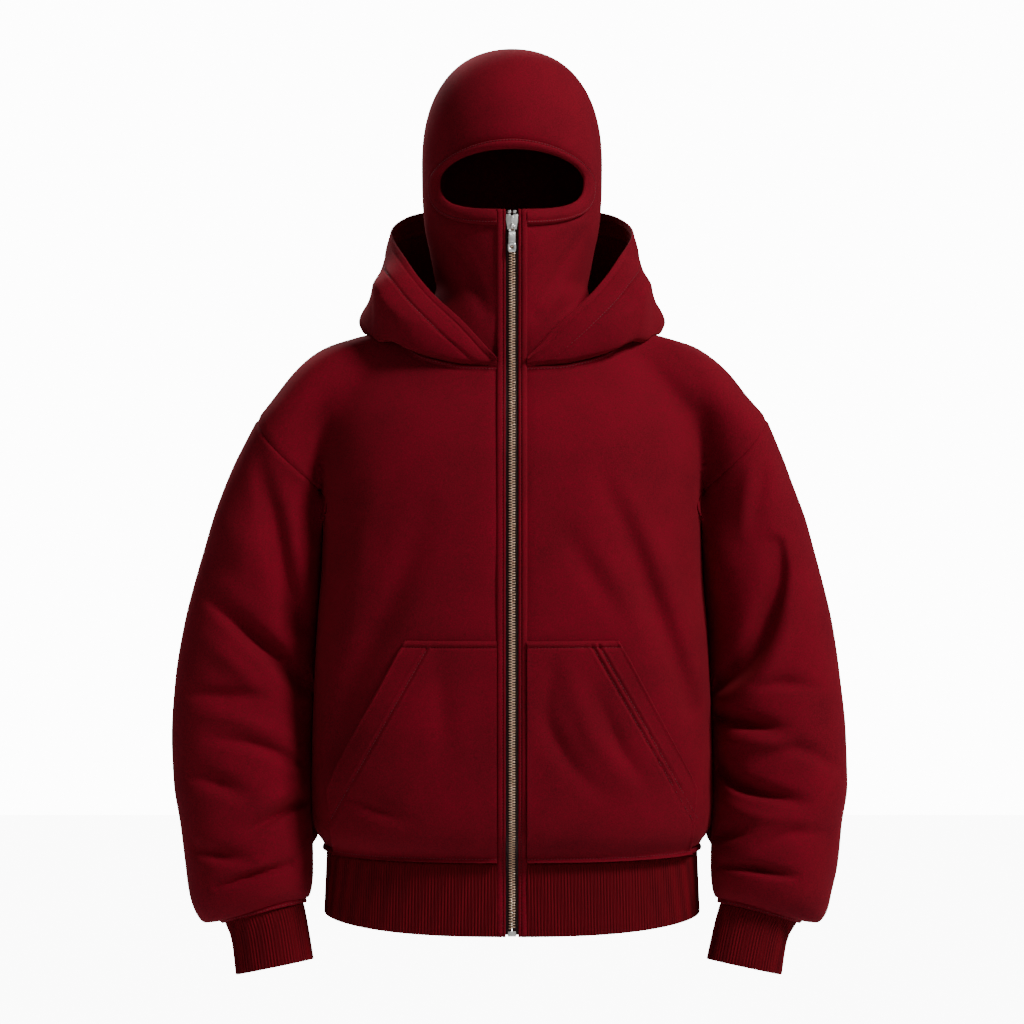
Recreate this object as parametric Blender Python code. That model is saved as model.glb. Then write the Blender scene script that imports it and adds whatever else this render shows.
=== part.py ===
"""Zip up hoodie with a face mask and a hood that lies back like a cowl, filled out as worn.

Metres, +Z up. The front faces -Y, so the wearer's left is +X. The origin is between the
shoulders, level with the base of the neck. Sizes are in millimetres, and become metres
where a mesh is made.
"""

from collections import namedtuple
from math import cos, pi, radians, sin

import bmesh
import bpy
import numpy as np

MM = 0.001
SIDES = {"left": 1, "right": -1}

# Cloth and seams
FLEECE = 2.4
BAND_CLOTH = 3.0  # folded cloth round the eye opening
RIB_KNIT = 2.4
SEAM_GAP = 0.3
INNER_INSET = 1.2  # how far the inner edge of a cut wall stands back from its seam
LAID_ON = 1.0  # space under a piece that lies on a panel

# Heights down the centre front
LIP_TOP = 117.0
NECK_FRONT = -49.0
HEM_SEAM = -568.0
HEM_BOTTOM = -646.0

# Strips beside the zip, as distances from the centre
TEETH_HALF = 3.6
TAPE_INNER = 3.9
TAPE_OUTER = 13.5
PLACKET_INNER = 6.6
PLACKET_OUTER = 16.0
PANEL_EDGE = PLACKET_OUTER + SEAM_GAP
PLACKET_LAYER = (-2.3, 1.2)  # back and front of each layer, from the cloth's face
TAPE_LAYER = (-3.7, -2.6)
TEETH_LAYER = (-3.6, -0.6)
TAPE_SHORTER = 2.0
BOTTOM_STOP = 5.5

# The torso tube: half width, half depths and squareness of its sections
Torso = namedtuple("Torso", "height half_width front back power")
TORSO = [
    Torso(24, 84, 84, 88, 2.0),
    Torso(4, 114, 98, 98, 2.1),
    Torso(-20, 155, 106, 108, 2.2),
    Torso(-49, 192, 112, 121, 2.3),
    Torso(-64, 201, 115.5, 127, 2.4),
    Torso(-102, 208, 130, 137, 2.6),
    Torso(-140, 209, 141, 144, 2.6),
    Torso(-185, 207, 148, 149, 2.6),
    Torso(-210, 206.5, 150, 150, 2.6),
    Torso(-260, 208, 151, 150, 2.6),
    Torso(-320, 212.5, 152, 149, 2.6),
    Torso(-394, 216.5, 152, 148, 2.6),
    Torso(-453, 218, 150, 147, 2.6),
    Torso(-508, 218.5, 146, 143, 2.6),
    Torso(-540, 217, 139, 137, 2.6),
    Torso(-556, 213, 131, 129, 2.55),
    Torso(-568, 203.5, 121, 118, 2.5),
]

# The shoulders and upper arms: the outline on each side, the arm's inner edge and depth, and
# the depth of the web of cloth in the hollow between arm and torso
Shoulder = namedtuple("Shoulder", "height right_edge left_edge inner depth web")
SHOULDERS = [
    Shoulder(24, 84, 84, 30, 40, 0),
    Shoulder(4, 116, 116, 55, 50, 0),
    Shoulder(-10, 172, 170, 90, 58, 0),
    Shoulder(-20, 203, 201, 112, 64, 0),
    Shoulder(-30, 220, 217, 127, 70, 15),
    Shoulder(-49, 240, 238, 146, 77, 40),
    Shoulder(-72, 258, 256, 166, 81, 60),
    Shoulder(-99, 278, 278, 189, 82, 68),
    Shoulder(-130, 295, 292, 198, 82, 67),
    Shoulder(-168, 312, 306, 204, 82, 58),
    Shoulder(-212, 328, 322, 207.5, 81, 0),
    Shoulder(-268, 345, 338, 211, 80, 0),
    Shoulder(-325, 359, 351, 216, 79, 0),
]
WEB_HALF_WIDTH = 30.0

# The sleeve tube, from the armhole (0) to the cuff (1)
Sleeve = namedtuple(
    "Sleeve", "share right_outer left_outer outer_height inner inner_height depth forward lean"
)
SLEEVES = [
    Sleeve(0.00, 278, 278, -99, 207.5, -210, 82, 0, 0),
    Sleeve(0.06, 295, 292, -130, 208.5, -234, 82, 0, 0),
    Sleeve(0.13, 312, 306, -168, 209.6, -261, 82, 0, 0),
    Sleeve(0.21, 328, 322, -212, 212.0, -294, 81, 0, 0.01),
    Sleeve(0.31, 345, 338, -268, 215.1, -336, 80, -2, 0.03),
    Sleeve(0.41, 359, 351, -325, 217.2, -378, 79, -5, 0.05),
    Sleeve(0.52, 368, 359, -385, 218.7, -422, 78, -9, 0.07),
    Sleeve(0.62, 371, 364, -440, 219.7, -463, 77, -14, 0.09),
    Sleeve(0.72, 368, 365, -495, 220.0, -504, 75, -20, 0.11),
    Sleeve(0.81, 360, 358, -540, 218.8, -537, 73, -26, 0.13),
    Sleeve(0.88, 354, 353, -582, 216.2, -568, 70, -31, 0.14),
    Sleeve(0.94, 349.5, 346, -612, 215.8, -592, 66, -35, 0.15),
    Sleeve(0.975, 341, 339, -636, 217, -609, 57, -38, 0.15),
    Sleeve(0.99, 331, 329, -648, 219.5, -620, 46, -39, 0.15),
    Sleeve(1.00, 311, 309, -642, 226, -622, 34, -40, 0.15),
]
SLEEVE_POWER = 2.2
ARMHOLE_BEND = 50.0  # how far the armhole seam swings towards the body
UNION_SHARE = 0.28  # the part of the sleeve that still follows the shoulder's form
ARMHOLE_STEPS = 9  # the panels and the sleeve meet at these steps along the armhole seam
NECK_STEPS = 4  # the panels, mask and hood meet at these steps along half the neck seam
SHOULDER_STEPS = 7
BODY_GAP = 1.5  # how far the sleeves and hood stand clear of the body

# Heights of the panels' and pockets' rows below the arm
FRONT_ROWS = [-240, -270, -300, -333, -365, -400, -435, -467, -494, -522, -543, -556, HEM_SEAM]
BACK_ROWS = [-245, -285, -333, -380, -430, -480, -522, -545, -557, HEM_SEAM]

Cuff = namedtuple(
    "Cuff", "share right_outer left_outer outer_height right_inner left_inner inner_height depth"
)
CUFFS = [
    Cuff(0.0, 310, 308, -642.5, 226.5, 226.5, -622.5, 33.5),
    Cuff(0.35, 302.5, 297, -661, 222.5, 221, -641, 33),
    Cuff(1.0, 297, 290, -699.5, 215, 211, -683, 32.5),
]
CUFF_FORWARD = (-40.0, -46.0)
CUFF_LEAN = 0.15

# The hem rib's section at its seam and at its edge
HemRing = namedtuple("HemRing", "height half_width front back side_rise")
HEM_TOP_RING = HemRing(HEM_SEAM - SEAM_GAP, 202, 120, 117, 0)
HEM_LOW_RING = HemRing(HEM_BOTTOM, 205, 118.5, 116, 9)
HEM_POWER = 2.4

# The neck seam, seen from the front and from the back, as distance out and height
NECK_SEAM_FRONT = [(PANEL_EDGE, -49), (49, -49.5), (75, -41), (101, -22), (116, 4)]
NECK_SEAM_BACK = [(0, 24), (40, 22), (75, 15), (100, 9), (116, 4)]

# The mask over head and neck
Mask = namedtuple("Mask", "height half_width front back")
MASK = [
    Mask(178, 98.5, 120, 124),
    Mask(150, 97.5, 121.5, 124),
    Mask(115, 95, 122, 122),
    Mask(88, 90, 121, 118),
    Mask(50, 83.5, 118, 109),
]
MASK_FLARE_TOP = 50.0  # above this the mask stands free of the neck seam
MASK_INSIDE_SEAM = 4.5
MASK_EVENING = 120  # rounds that even out the mask's points between its edges
CROWN_BASE = 178.0
CROWN_TOP = 307.0
CROWN_POWER = 2.35
CROWN_BACK = 190.0  # where the rows over the crown meet the centre back

# The eye opening: its hem line and its cut edge, each two half ovals about one height
EyeEdge = namedtuple("EyeEdge", "half_width middle rise top_power drop bottom_power")
EYE_HEM = EyeEdge(89.5, 152, 43, 1.75, 47, 2.4)
EYE_CUT = EyeEdge(77.5, 153, 28, 2.05, 36, 2.8)
EYE_STEPS = 11  # the mask and the band meet at these steps round each side

# The hood's sections, from the centre front (0) to the centre back (1). Each starts at the
# neck seam, lies on the shoulders, turns at a lip, swells and ends at the rim.
Hood = namedtuple(
    "Hood",
    "share azimuth rest_out rest_up lip_out lip_up swell_out swell_up rim_x rim_y rim_z",
)
HOOD = [
    Hood(0.00, 4, 2, 2, 4, 5, 5, 10, 17, -119, -33),
    Hood(0.12, 12, 7, 3, 13, 8, 14, 30, 50, -115, 7),
    Hood(0.26, 35, 12, 4, 22, 9, 30, 38, 88, -97, 40),
    Hood(0.38, 62, 18, 6, 34, 9, 42, 42, 112, -68, 67),
    Hood(0.52, 90, 26, 4, 50, -2, 39, 38, 134, 0, 107),
    Hood(0.68, 127, 38, -8, 70, -40, 77, 20, 119, 76, 134),
    Hood(0.84, 152, 44, -36, 76, -96, 104, -30, 78, 134, 150),
    Hood(1.00, 180, 46, -58, 70, -122, 108, -50, 0, 166, 158),
]

# Kangaroo pocket: its outer edge as height and distance out
POCKET_EDGE = [(-333, 110), (-494, 193), (-549, 191), (-565.5, 189)]
POCKET_MOUTH_LIFT = 2.5

RIB_PITCH = 3.5
RIB_RELIEF = 0.7
RIBS_PER_CELL = 4

# Zip slider and pull tab, with the hinge on the slider's bail
SLIDER_TOP, SLIDER_BOTTOM = 111.5, 95.5
SLIDER_HALF_WIDTH = 6.3
SLIDER_PLATE = 1.6
PULL_HINGE_HEIGHT = 99.0
BAIL_INNER, BAIL_OUTER, BAIL_HALF_WIDTH = 1.6, 2.8, 1.7
PULL_LENGTH, PULL_HALF_WIDTH, PULL_HALF_THICKNESS = 27.5, 4.3, 0.8
PULL_WINDOW = (0.8, 5.2, 2.4)  # start and end below the hinge, half width
PULL_HOLE = (20.5, 24.0, 1.9)

# Largest folds, as routes across the front or back view. start and end are the fold's depth
# there as shares of its greatest depth; sharp is the width below the route over that above.
Fold = namedtuple("Fold", "route depth width sharp start end")
SLEEVE_FOLDS = {
    ("right", "front"): [
        Fold([(-272, -125), (-266, -187), (-251, -259), (-229, -345)], 6, 20, 1, 0.2, 0.6),
        Fold([(-320, -304), (-285, -333), (-251, -362), (-222, -402)], 11, 16, 0.8, 0.1, 1.3),
        Fold([(-345, -456), (-290, -462), (-232, -452)], 5, 16, 1, 0.2, 0.9),
        Fold([(-213, -508), (-245, -533), (-280, -547)], 11, 15, 0.5, 1.1, 0.1),
        Fold([(-336, -570), (-285, -572)], 5, 13, 1, 0.2, 0.4),
        Fold([(-318, -604), (-234, -584)], 6, 11, 0.7, 0.3, 0.9),
    ],
    ("left", "front"): [
        Fold([(274, -140), (281, -208)], 5, 16, 1, 0.2, 0.2),
        Fold(
            [(286, -242), (285, -282), (270, -330), (245, -367), (213, -405)], 14, 17, 0.5, 0.1, 1.2
        ),
        Fold([(214, -434), (250, -439), (288, -437)], 11, 14, 0.7, 1.2, 0.1),
        Fold([(216, -480), (262, -494), (308, -517)], 10, 14, 0.7, 1.1, 0.1),
        Fold([(215, -556), (247, -551)], 10, 14, 0.6, 1.1, 0.1),
        Fold([(221, -583), (258, -594), (300, -597)], 7, 11, 0.7, 1.0, 0.2),
    ],
    ("right", "back"): [
        Fold([(-300, -262), (-262, -318), (-226, -352)], 11, 18, 0.8, 0.2, 1.1),
        Fold([(-335, -398), (-280, -425), (-224, -430)], 9, 16, 0.7, 0.1, 1.1),
        Fold([(-330, -500), (-275, -512), (-224, -500)], 9, 16, 0.8, 0.2, 1.0),
        Fold([(-325, -575), (-262, -583), (-222, -568)], 8, 13, 0.7, 0.2, 1.0),
    ],
    ("left", "back"): [
        Fold([(305, -250), (268, -300), (226, -330)], 10, 18, 0.8, 0.2, 1.1),
        Fold([(338, -372), (285, -402), (224, -410)], 10, 16, 0.7, 0.1, 1.1),
        Fold([(345, -470), (285, -482), (224, -470)], 8, 16, 0.8, 0.2, 1.0),
        Fold([(330, -556), (275, -568), (222, -548)], 9, 13, 0.7, 0.2, 1.0),
    ],
}
BODY_FOLDS = {
    "front": [
        Fold([(-84, -230), (-125, -285), (-145, -363), (-181, -452)], 5, 24, 1, 0.2, 0.3),
        Fold([(124, -202), (160, -327), (182, -424)], 5, 22, 1, 0.3, 0.3),
        Fold([(52, -215), (94, -300)], 3, 20, 1, 0.2, 0.2),
    ],
    "back": [
        Fold([(-150, -150), (-95, -215), (-60, -300)], 7, 24, 1, 0.3, 0.1),
        Fold([(152, -160), (100, -222), (70, -290)], 7, 24, 1, 0.3, 0.1),
        Fold([(-170, -420), (-60, -465), (70, -470), (175, -430)], 7, 26, 0.8, 0.4, 0.4),
        Fold([(-150, -515), (-30, -535), (110, -522)], 6, 18, 0.8, 0.3, 0.3),
    ],
}

# Colours as sRGB 0 to 255, with roughness and metallic
Look = namedtuple("Look", "colour roughness metallic")
LOOKS = {
    "fleece": Look((104, 16, 26), 0.95, 0.0),
    "rib_knit": Look((98, 14, 24), 0.95, 0.0),
    "zip_tape": Look((62, 8, 16), 0.85, 0.0),
    "zip_teeth": Look((196, 172, 140), 0.35, 1.0),
    "zip_metal": Look((198, 196, 194), 0.3, 1.0),
}


# ---------------------------------------------------------------- tables and curves


def smooth_curve(places, values, at):
    """Reads a curve through the points that never overshoots them, flat past its ends."""
    places, values = np.asarray(places, float), np.asarray(values, float)
    if places[0] > places[-1]:
        places, values = places[::-1], values[::-1]
    step = np.diff(places)
    slope = np.diff(values) / step
    tangent = np.zeros_like(values)
    tangent[0], tangent[-1] = slope[0], slope[-1]
    before, after = slope[:-1], slope[1:]
    same_way = before * after > 0
    weight_before, weight_after = 2 * step[1:] + step[:-1], step[1:] + 2 * step[:-1]
    safe_before, safe_after = np.where(same_way, before, 1), np.where(same_way, after, 1)
    mean = (weight_before + weight_after) / (weight_before / safe_before + weight_after / safe_after)
    tangent[1:-1] = np.where(same_way, mean, 0)
    at = np.clip(at, places[0], places[-1])
    i = np.clip(np.searchsorted(places, at, "right") - 1, 0, len(step) - 1)
    t = (at - places[i]) / step[i]
    return (
        (1 + 2 * t) * (1 - t) ** 2 * values[i]
        + t * (1 - t) ** 2 * step[i] * tangent[i]
        + t**2 * (3 - 2 * t) * values[i + 1]
        + t**2 * (t - 1) * step[i] * tangent[i + 1]
    )


def read(rows, name, at):
    """One named column of a table, read along the table's first column."""
    first = rows[0]._fields[0]
    return smooth_curve(
        [getattr(row, first) for row in rows], [getattr(row, name) for row in rows], at
    )


def ease(share):
    share = np.clip(share, 0, 1)
    return share * share * (3 - 2 * share)


def along(points, share):
    """Points at shares of the length of a smooth line through the given ones."""
    points = np.asarray(points, float)
    lengths = np.concatenate([[0], np.cumsum(np.linalg.norm(np.diff(points, axis=0), axis=1))])
    fine = np.linspace(0, lengths[-1], 400)
    line = np.stack([smooth_curve(lengths, points[:, i], fine) for i in range(points.shape[1])], 1)
    run = np.concatenate([[0], np.cumsum(np.linalg.norm(np.diff(line, axis=0), axis=1))])
    wanted = np.asarray(share) * run[-1]
    return np.stack([np.interp(wanted, run, line[:, i]) for i in range(points.shape[1])], -1)


def oval(share, power):
    """The height over a section's middle line, 1 at its middle and 0 at its edge."""
    return (1 - np.minimum(np.abs(share), 1) ** power) ** (1 / power)


def fold_depth(folds, x, z):
    """How far all the folds press in at a place in the front or back view."""
    total = np.zeros(np.broadcast(x, z).shape)
    for fold in folds:
        route = np.asarray(fold.route, float)
        steps = np.diff(route, axis=0)
        lengths = np.linalg.norm(steps, axis=1)
        nearest = np.full(total.shape, 1e9)
        place = np.zeros(total.shape)
        for i, (start, step, length) in enumerate(zip(route, steps, lengths)):
            t = np.clip(((x - start[0]) * step[0] + (z - start[1]) * step[1]) / length**2, 0, 1)
            dx, dz = x - start[0] - t * step[0], z - start[1] - t * step[1]
            distance = np.hypot(dx, dz) * np.where(dz < 0, 1 / fold.sharp, 1)
            closer = distance < nearest
            nearest = np.where(closer, distance, nearest)
            place = np.where(closer, (lengths[:i].sum() + t * length) / lengths.sum(), place)
        fade = np.interp(place, [0, 0.5, 1], [fold.start, 1, fold.end])
        total += fold.depth * fade * np.exp(-((nearest / fold.width) ** 2))
    return total


# ---------------------------------------------------------------- the form of the garment


def torso_depth(x, z, face):
    column = "front" if face == "front" else "back"
    share = np.abs(x) / read(TORSO, "half_width", z)
    power = read(TORSO, "power", z)
    return read(TORSO, column, z) * oval(share, power)


def arm_depth(side, x, z):
    outer, inner = read(SHOULDERS, side + "_edge", z), read(SHOULDERS, "inner", z)
    share = (np.abs(x) - (outer + inner) / 2) / ((outer - inner) / 2)
    return read(SHOULDERS, "depth", z) * oval(share, SLEEVE_POWER)


def body_depth(side, x, z, face):
    """Half depth of the torso and upper arm as one form, with their hollow between them."""
    torso, arm = torso_depth(x, z, face), arm_depth(side, x, z)
    hollow = (read(SHOULDERS, "inner", z) + read(TORSO, "half_width", z)) / 2
    web = read(SHOULDERS, "web", z) * oval((np.abs(x) - hollow) / WEB_HALF_WIDTH, 2)
    return (torso**4 + arm**4 + web**4) ** 0.25


def round_steps(count):
    """Shares across a tube's front, from its outer edge (0) to its inner edge (1)."""
    turn = np.cos(pi * np.arange(count + 1) / count)
    return (1 - np.sign(turn) * np.abs(turn) ** (2 / SLEEVE_POWER)) / 2


def armhole(share):
    """The armhole seam in the front view, from the shoulder's edge (0) to under the arm (1)."""
    top = SLEEVES[0]
    x = top.right_outer + (top.inner - top.right_outer) * share
    z = top.outer_height + (top.inner_height - top.outer_height) * share
    return x - ARMHOLE_BEND * 4 * share**3 * (1 - share), z


def panel_grid(side, face, side_rows):
    """A front or half back in the front view: rows from neck and shoulder to hem."""
    centre = PANEL_EDGE if face == "front" else 0.0
    top_neck = neck_corners(face)[:, [0, 2]]
    ridge = [(read(SHOULDERS, side + "_edge", z), z) for z in np.linspace(4, -99, 40)]
    top_ridge = along(ridge, np.linspace(0, 1, SHOULDER_STEPS + 1))
    top_x, top_z = np.concatenate([top_neck, top_ridge[1:]]).T
    arm_x, arm_z = armhole(round_steps(ARMHOLE_STEPS))
    under = SLEEVES[0].inner_height
    over_arm_end = np.interp(arm_x, top_x, top_z)
    fall = (over_arm_end - arm_z) / (over_arm_end - under)
    fall[0], fall[-1] = 0, 1
    spread_top = (top_x - centre) / (top_x[-1] - centre)
    spread_low = np.sin(np.linspace(0, 1, len(top_x)) * pi / 2) ** 0.92
    rows_x, rows_z = [], []
    for i, (end_x, share) in enumerate(zip(arm_x, fall)):
        spread = spread_top + (spread_low - spread_top) * ease(i / ARMHOLE_STEPS)
        x = centre + (end_x - centre) * spread
        over = np.interp(x, top_x, top_z)
        rows_x.append(x)
        rows_z.append(over + (under - over) * share)
    for z in side_rows:
        end_x = read(TORSO, "half_width", z)
        rows_x.append(centre + (end_x - centre) * spread_low)
        rows_z.append(np.full(len(top_x), float(z)))
    return SIDES[side] * np.array(rows_x), np.array(rows_z)


def on_body(side, face, x, z):
    depth = body_depth(side, x, z, face)
    depth = depth - fold_depth(BODY_FOLDS[face], x, z) * ease(depth / 45) + SEAM_GAP / 2
    y = -depth if face == "front" else depth
    return np.stack([x, y, z], -1)


def panel(side, face, side_rows):
    """A panel's points; at the shoulder and side seams front and back meet at their middle plane."""
    points = on_body(side, face, *panel_grid(side, face, side_rows))
    middle = -SEAM_GAP / 2 if face == "front" else SEAM_GAP / 2
    points[0, NECK_STEPS:, 1] = middle
    points[ARMHOLE_STEPS:, -1, 1] = middle
    return points


def clear_of_torso(points, gap):
    """Moves a sleeve's points out sideways until they stand clear of the torso's side."""
    x, y, z = points[..., 0], points[..., 1], points[..., 2]
    depth = np.where(y < 0, read(TORSO, "front", z), read(TORSO, "back", z))
    torso_side = read(TORSO, "half_width", z) * oval(y / depth, read(TORSO, "power", z))
    return np.stack([np.sign(x) * np.maximum(np.abs(x), torso_side + gap), y, z], -1)


def body_top(side, x, y):
    """The height of the body's upper side over a place, found by halving."""
    low, high = np.full_like(x, -220.0), np.full_like(x, 30.0)
    for _ in range(20):
        middle = (low + high) / 2
        front, back = body_depth(side, x, middle, "front"), body_depth(side, x, middle, "back")
        inside = np.where(y < 0, front, back) > np.abs(y)
        low, high = np.where(inside, middle, low), np.where(inside, high, middle)
    return low


def sleeve_grid(side, shares, columns):
    """Rings from the armhole to the cuff; each starts at the outer edge and runs to the front."""
    sign = SIDES[side]
    share = np.asarray(shares, float)[:, None]
    angle = 2 * pi * np.arange(columns) / columns
    outward, forward = np.cos(angle)[None], np.sin(angle)[None]
    power = 2 / SLEEVE_POWER
    across = (1 - np.sign(outward) * np.abs(outward) ** power) / 2
    outer = read(SLEEVES, side + "_outer", share)
    inner = read(SLEEVES, "inner", share)
    outer_z, inner_z = read(SLEEVES, "outer_height", share), read(SLEEVES, "inner_height", share)
    bend = ARMHOLE_BEND * np.clip(1 - share / UNION_SHARE, 0, 1) ** 2
    x = outer + (inner - outer) * across - bend * 4 * across**3 * (1 - across)
    z = outer_z + (inner_z - outer_z) * across
    own = read(SLEEVES, "depth", share) * np.abs(forward) ** power
    blend = ease(share / UNION_SHARE)
    low = ease((across - 0.78) / 0.1)
    under_arm = ease(share / (0.25 - 0.21 * low))
    points = []
    for face, toward in (("front", -1), ("back", 1)):
        shared = body_depth(side, x, z, face)
        depth = np.maximum(shared + (own - shared) * blend, own * under_arm)
        folds = fold_depth(SLEEVE_FOLDS[side, face], sign * x, z) * ease(share / 0.1)
        depth = depth - folds * ease(depth / 45)
        y = read(SLEEVES, "forward", share) + toward * depth
        lean = read(SLEEVES, "lean", share)
        points.append(np.stack([sign * x, y, z - toward * lean * depth], -1))
    front = (forward > 0)[:, :, None]
    edge = (np.abs(forward) < 1e-6)[:, :, None]
    both = np.where(front, points[0], points[1])
    both = np.where(edge, (points[0] + points[1]) / 2, both)
    return clear_of_torso(both, SEAM_GAP + (BODY_GAP - SEAM_GAP) * np.maximum(ease(share / 0.06), low))


def cuff_ring(side, share, count):
    """Evenly spaced points round the cuff, starting at its outer edge."""
    sign = SIDES[side]
    fine = np.linspace(0, 2 * pi, 721)
    outer, inner = read(CUFFS, side + "_outer", share), read(CUFFS, side + "_inner", share)
    across = (1 - np.sign(np.cos(fine)) * np.abs(np.cos(fine)) ** 0.9) / 2
    x = outer + (inner - outer) * across
    outer_z, inner_z = read(CUFFS, "outer_height", share), read(CUFFS, "inner_height", share)
    z = outer_z + (inner_z - outer_z) * across
    depth = -read(CUFFS, "depth", share) * np.sign(np.sin(fine)) * np.abs(np.sin(fine)) ** 0.9
    y = CUFF_FORWARD[0] + (CUFF_FORWARD[1] - CUFF_FORWARD[0]) * share + depth
    return evenly(np.stack([sign * x, y, z - CUFF_LEAN * depth], 1), count, closed=True)


def evenly(line, count, closed):
    run = np.concatenate([[0], np.cumsum(np.linalg.norm(np.diff(line, axis=0), axis=1))])
    wanted = np.linspace(0, run[-1], count, endpoint=not closed)
    return np.stack([np.interp(wanted, run, line[:, i]) for i in range(3)], 1)


def hem_ring(ring, count):
    """Evenly spaced points from the zip's left side round the back to its right side."""
    angle = np.linspace(0, 2 * pi, 2881)
    power = 2 / HEM_POWER
    x = ring.half_width * np.sign(np.sin(angle)) * np.abs(np.sin(angle)) ** power
    depth = np.where(np.cos(angle) > 0, ring.front, ring.back)
    y = -depth * np.sign(np.cos(angle)) * np.abs(np.cos(angle)) ** power
    keep = ~((y < 0) & (np.abs(x) < PANEL_EDGE))
    z = ring.height + ring.side_rise * np.abs(x / ring.half_width) ** 3
    line = np.stack([x, y, z], 1)[keep]
    line[0, 0], line[-1, 0] = PANEL_EDGE, -PANEL_EDGE
    return evenly(line, count, closed=False)


def neck_corners(face):
    """Points along the left of the neck seam, from the centre to the shoulder."""
    seam = NECK_SEAM_FRONT if face == "front" else NECK_SEAM_BACK
    x, z = along(seam, np.linspace(0, 1, 200)).T
    y = body_depth("left", x, z, face)
    return evenly(np.stack([x, -y if face == "front" else y, z], 1), NECK_STEPS + 1, closed=False)


def neck_ring(share):
    """The left of the neck seam on the body, from the centre front (0) to the centre back (1)."""
    corners = np.concatenate([neck_corners("front"), neck_corners("back")[-2::-1]])
    places = np.linspace(0, 1, len(corners))
    return np.stack([np.interp(share, places, corners[:, i]) for i in range(3)], -1)


def crown_level(z):
    """How wide the crown still is at a height, as a share of its base."""
    rise = np.clip((z - CROWN_BASE) / (CROWN_TOP - CROWN_BASE), 0, 1)
    return (1 - rise**CROWN_POWER) ** (1 / CROWN_POWER)


def onto_mask(points):
    """Pushes points out to the mask's form, level with them or away from the crown's base."""
    x, y, z = points[..., 0], points[..., 1], points[..., 2]
    half_width = read(MASK, "half_width", z)
    depth = np.where(y < 0, read(MASK, "front", z), read(MASK, "back", z))
    flat = np.hypot(x / half_width, y / depth)
    rise = np.clip((z - CROWN_BASE) / (CROWN_TOP - CROWN_BASE), 0, None)
    size = (flat**CROWN_POWER + rise**CROWN_POWER) ** (1 / CROWN_POWER)
    out = 1 / np.maximum(size, 1e-6)
    new_z = np.where(z > CROWN_BASE, CROWN_BASE + (z - CROWN_BASE) * out, z)
    return np.stack([x * out, y * out, new_z], -1)


def mask_normals(points):
    """Directions away from the mask's form at points on it."""
    x, y, z = points[..., 0], points[..., 1], points[..., 2]
    half_width = read(MASK, "half_width", z)
    depth = np.where(y < 0, read(MASK, "front", z), read(MASK, "back", z))
    flat = np.maximum(np.hypot(x / half_width, y / depth), 1e-3) ** (CROWN_POWER - 2)
    rise = np.clip((z - CROWN_BASE) / (CROWN_TOP - CROWN_BASE), 0, 1)
    up = rise ** (CROWN_POWER - 1) / (CROWN_TOP - CROWN_BASE)
    return unit(np.stack([flat * x / half_width**2, flat * y / depth**2, up], -1))


def eye_line(edge, share):
    """One side of the eye opening, from its bottom centre (0) to its top centre (1)."""
    angle = np.asarray(share, float) * pi
    low = angle < pi / 2
    power = 2 / np.where(low, edge.bottom_power, edge.top_power)
    x = edge.half_width * np.sin(angle) ** power
    height = np.abs(np.cos(angle)) ** power
    z = edge.middle + np.where(low, -edge.drop * height, edge.rise * height)
    return np.stack([x, z], -1)


def on_mask_front(x, z):
    """The front of the mask at a place in the front view."""
    level = crown_level(z)
    share = np.minimum(np.abs(x) / (read(MASK, "half_width", z) * level), 1)
    return np.stack([x, -read(MASK, "front", z) * level * np.sqrt(1 - share**2), z], -1)


def eye_share_at_placket(edge):
    """Where the eye opening's line meets the placket's outer edge."""
    shares = np.linspace(0, 0.5, 2001)
    x = eye_line(edge, shares)[:, 0]
    return float(np.interp(PANEL_EDGE, x, shares))


def eye_hem_line(steps):
    """The mask's edge round one side of the eye opening, from the placket to the top centre."""
    return eye_line(EYE_HEM, np.linspace(eye_share_at_placket(EYE_HEM), 1, steps + 1))


def even_out(patch):
    """Spreads a grid's inner points over the mask so that no cell folds over its neighbour."""
    patch = patch.copy()
    patch[1:-1, 1:-1] = onto_mask(patch[1:-1, 1:-1])
    for _ in range(MASK_EVENING):
        next_u, last_u = patch[1:-1, 2:], patch[1:-1, :-2]
        next_v, last_v = patch[2:, 1:-1], patch[:-2, 1:-1]
        step_u, step_v = (next_u - last_u) / 2, (next_v - last_v) / 2
        long_u = (step_u**2).sum(-1, keepdims=True)
        long_v = (step_v**2).sum(-1, keepdims=True)
        skew = (step_u * step_v).sum(-1, keepdims=True)
        twist = patch[2:, 2:] - patch[2:, :-2] - patch[:-2, 2:] + patch[:-2, :-2]
        spread = long_v * (next_u + last_u) + long_u * (next_v + last_v) - skew * twist / 2
        patch[1:-1, 1:-1] = onto_mask(spread / (2 * (long_u + long_v)))
    return patch


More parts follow.
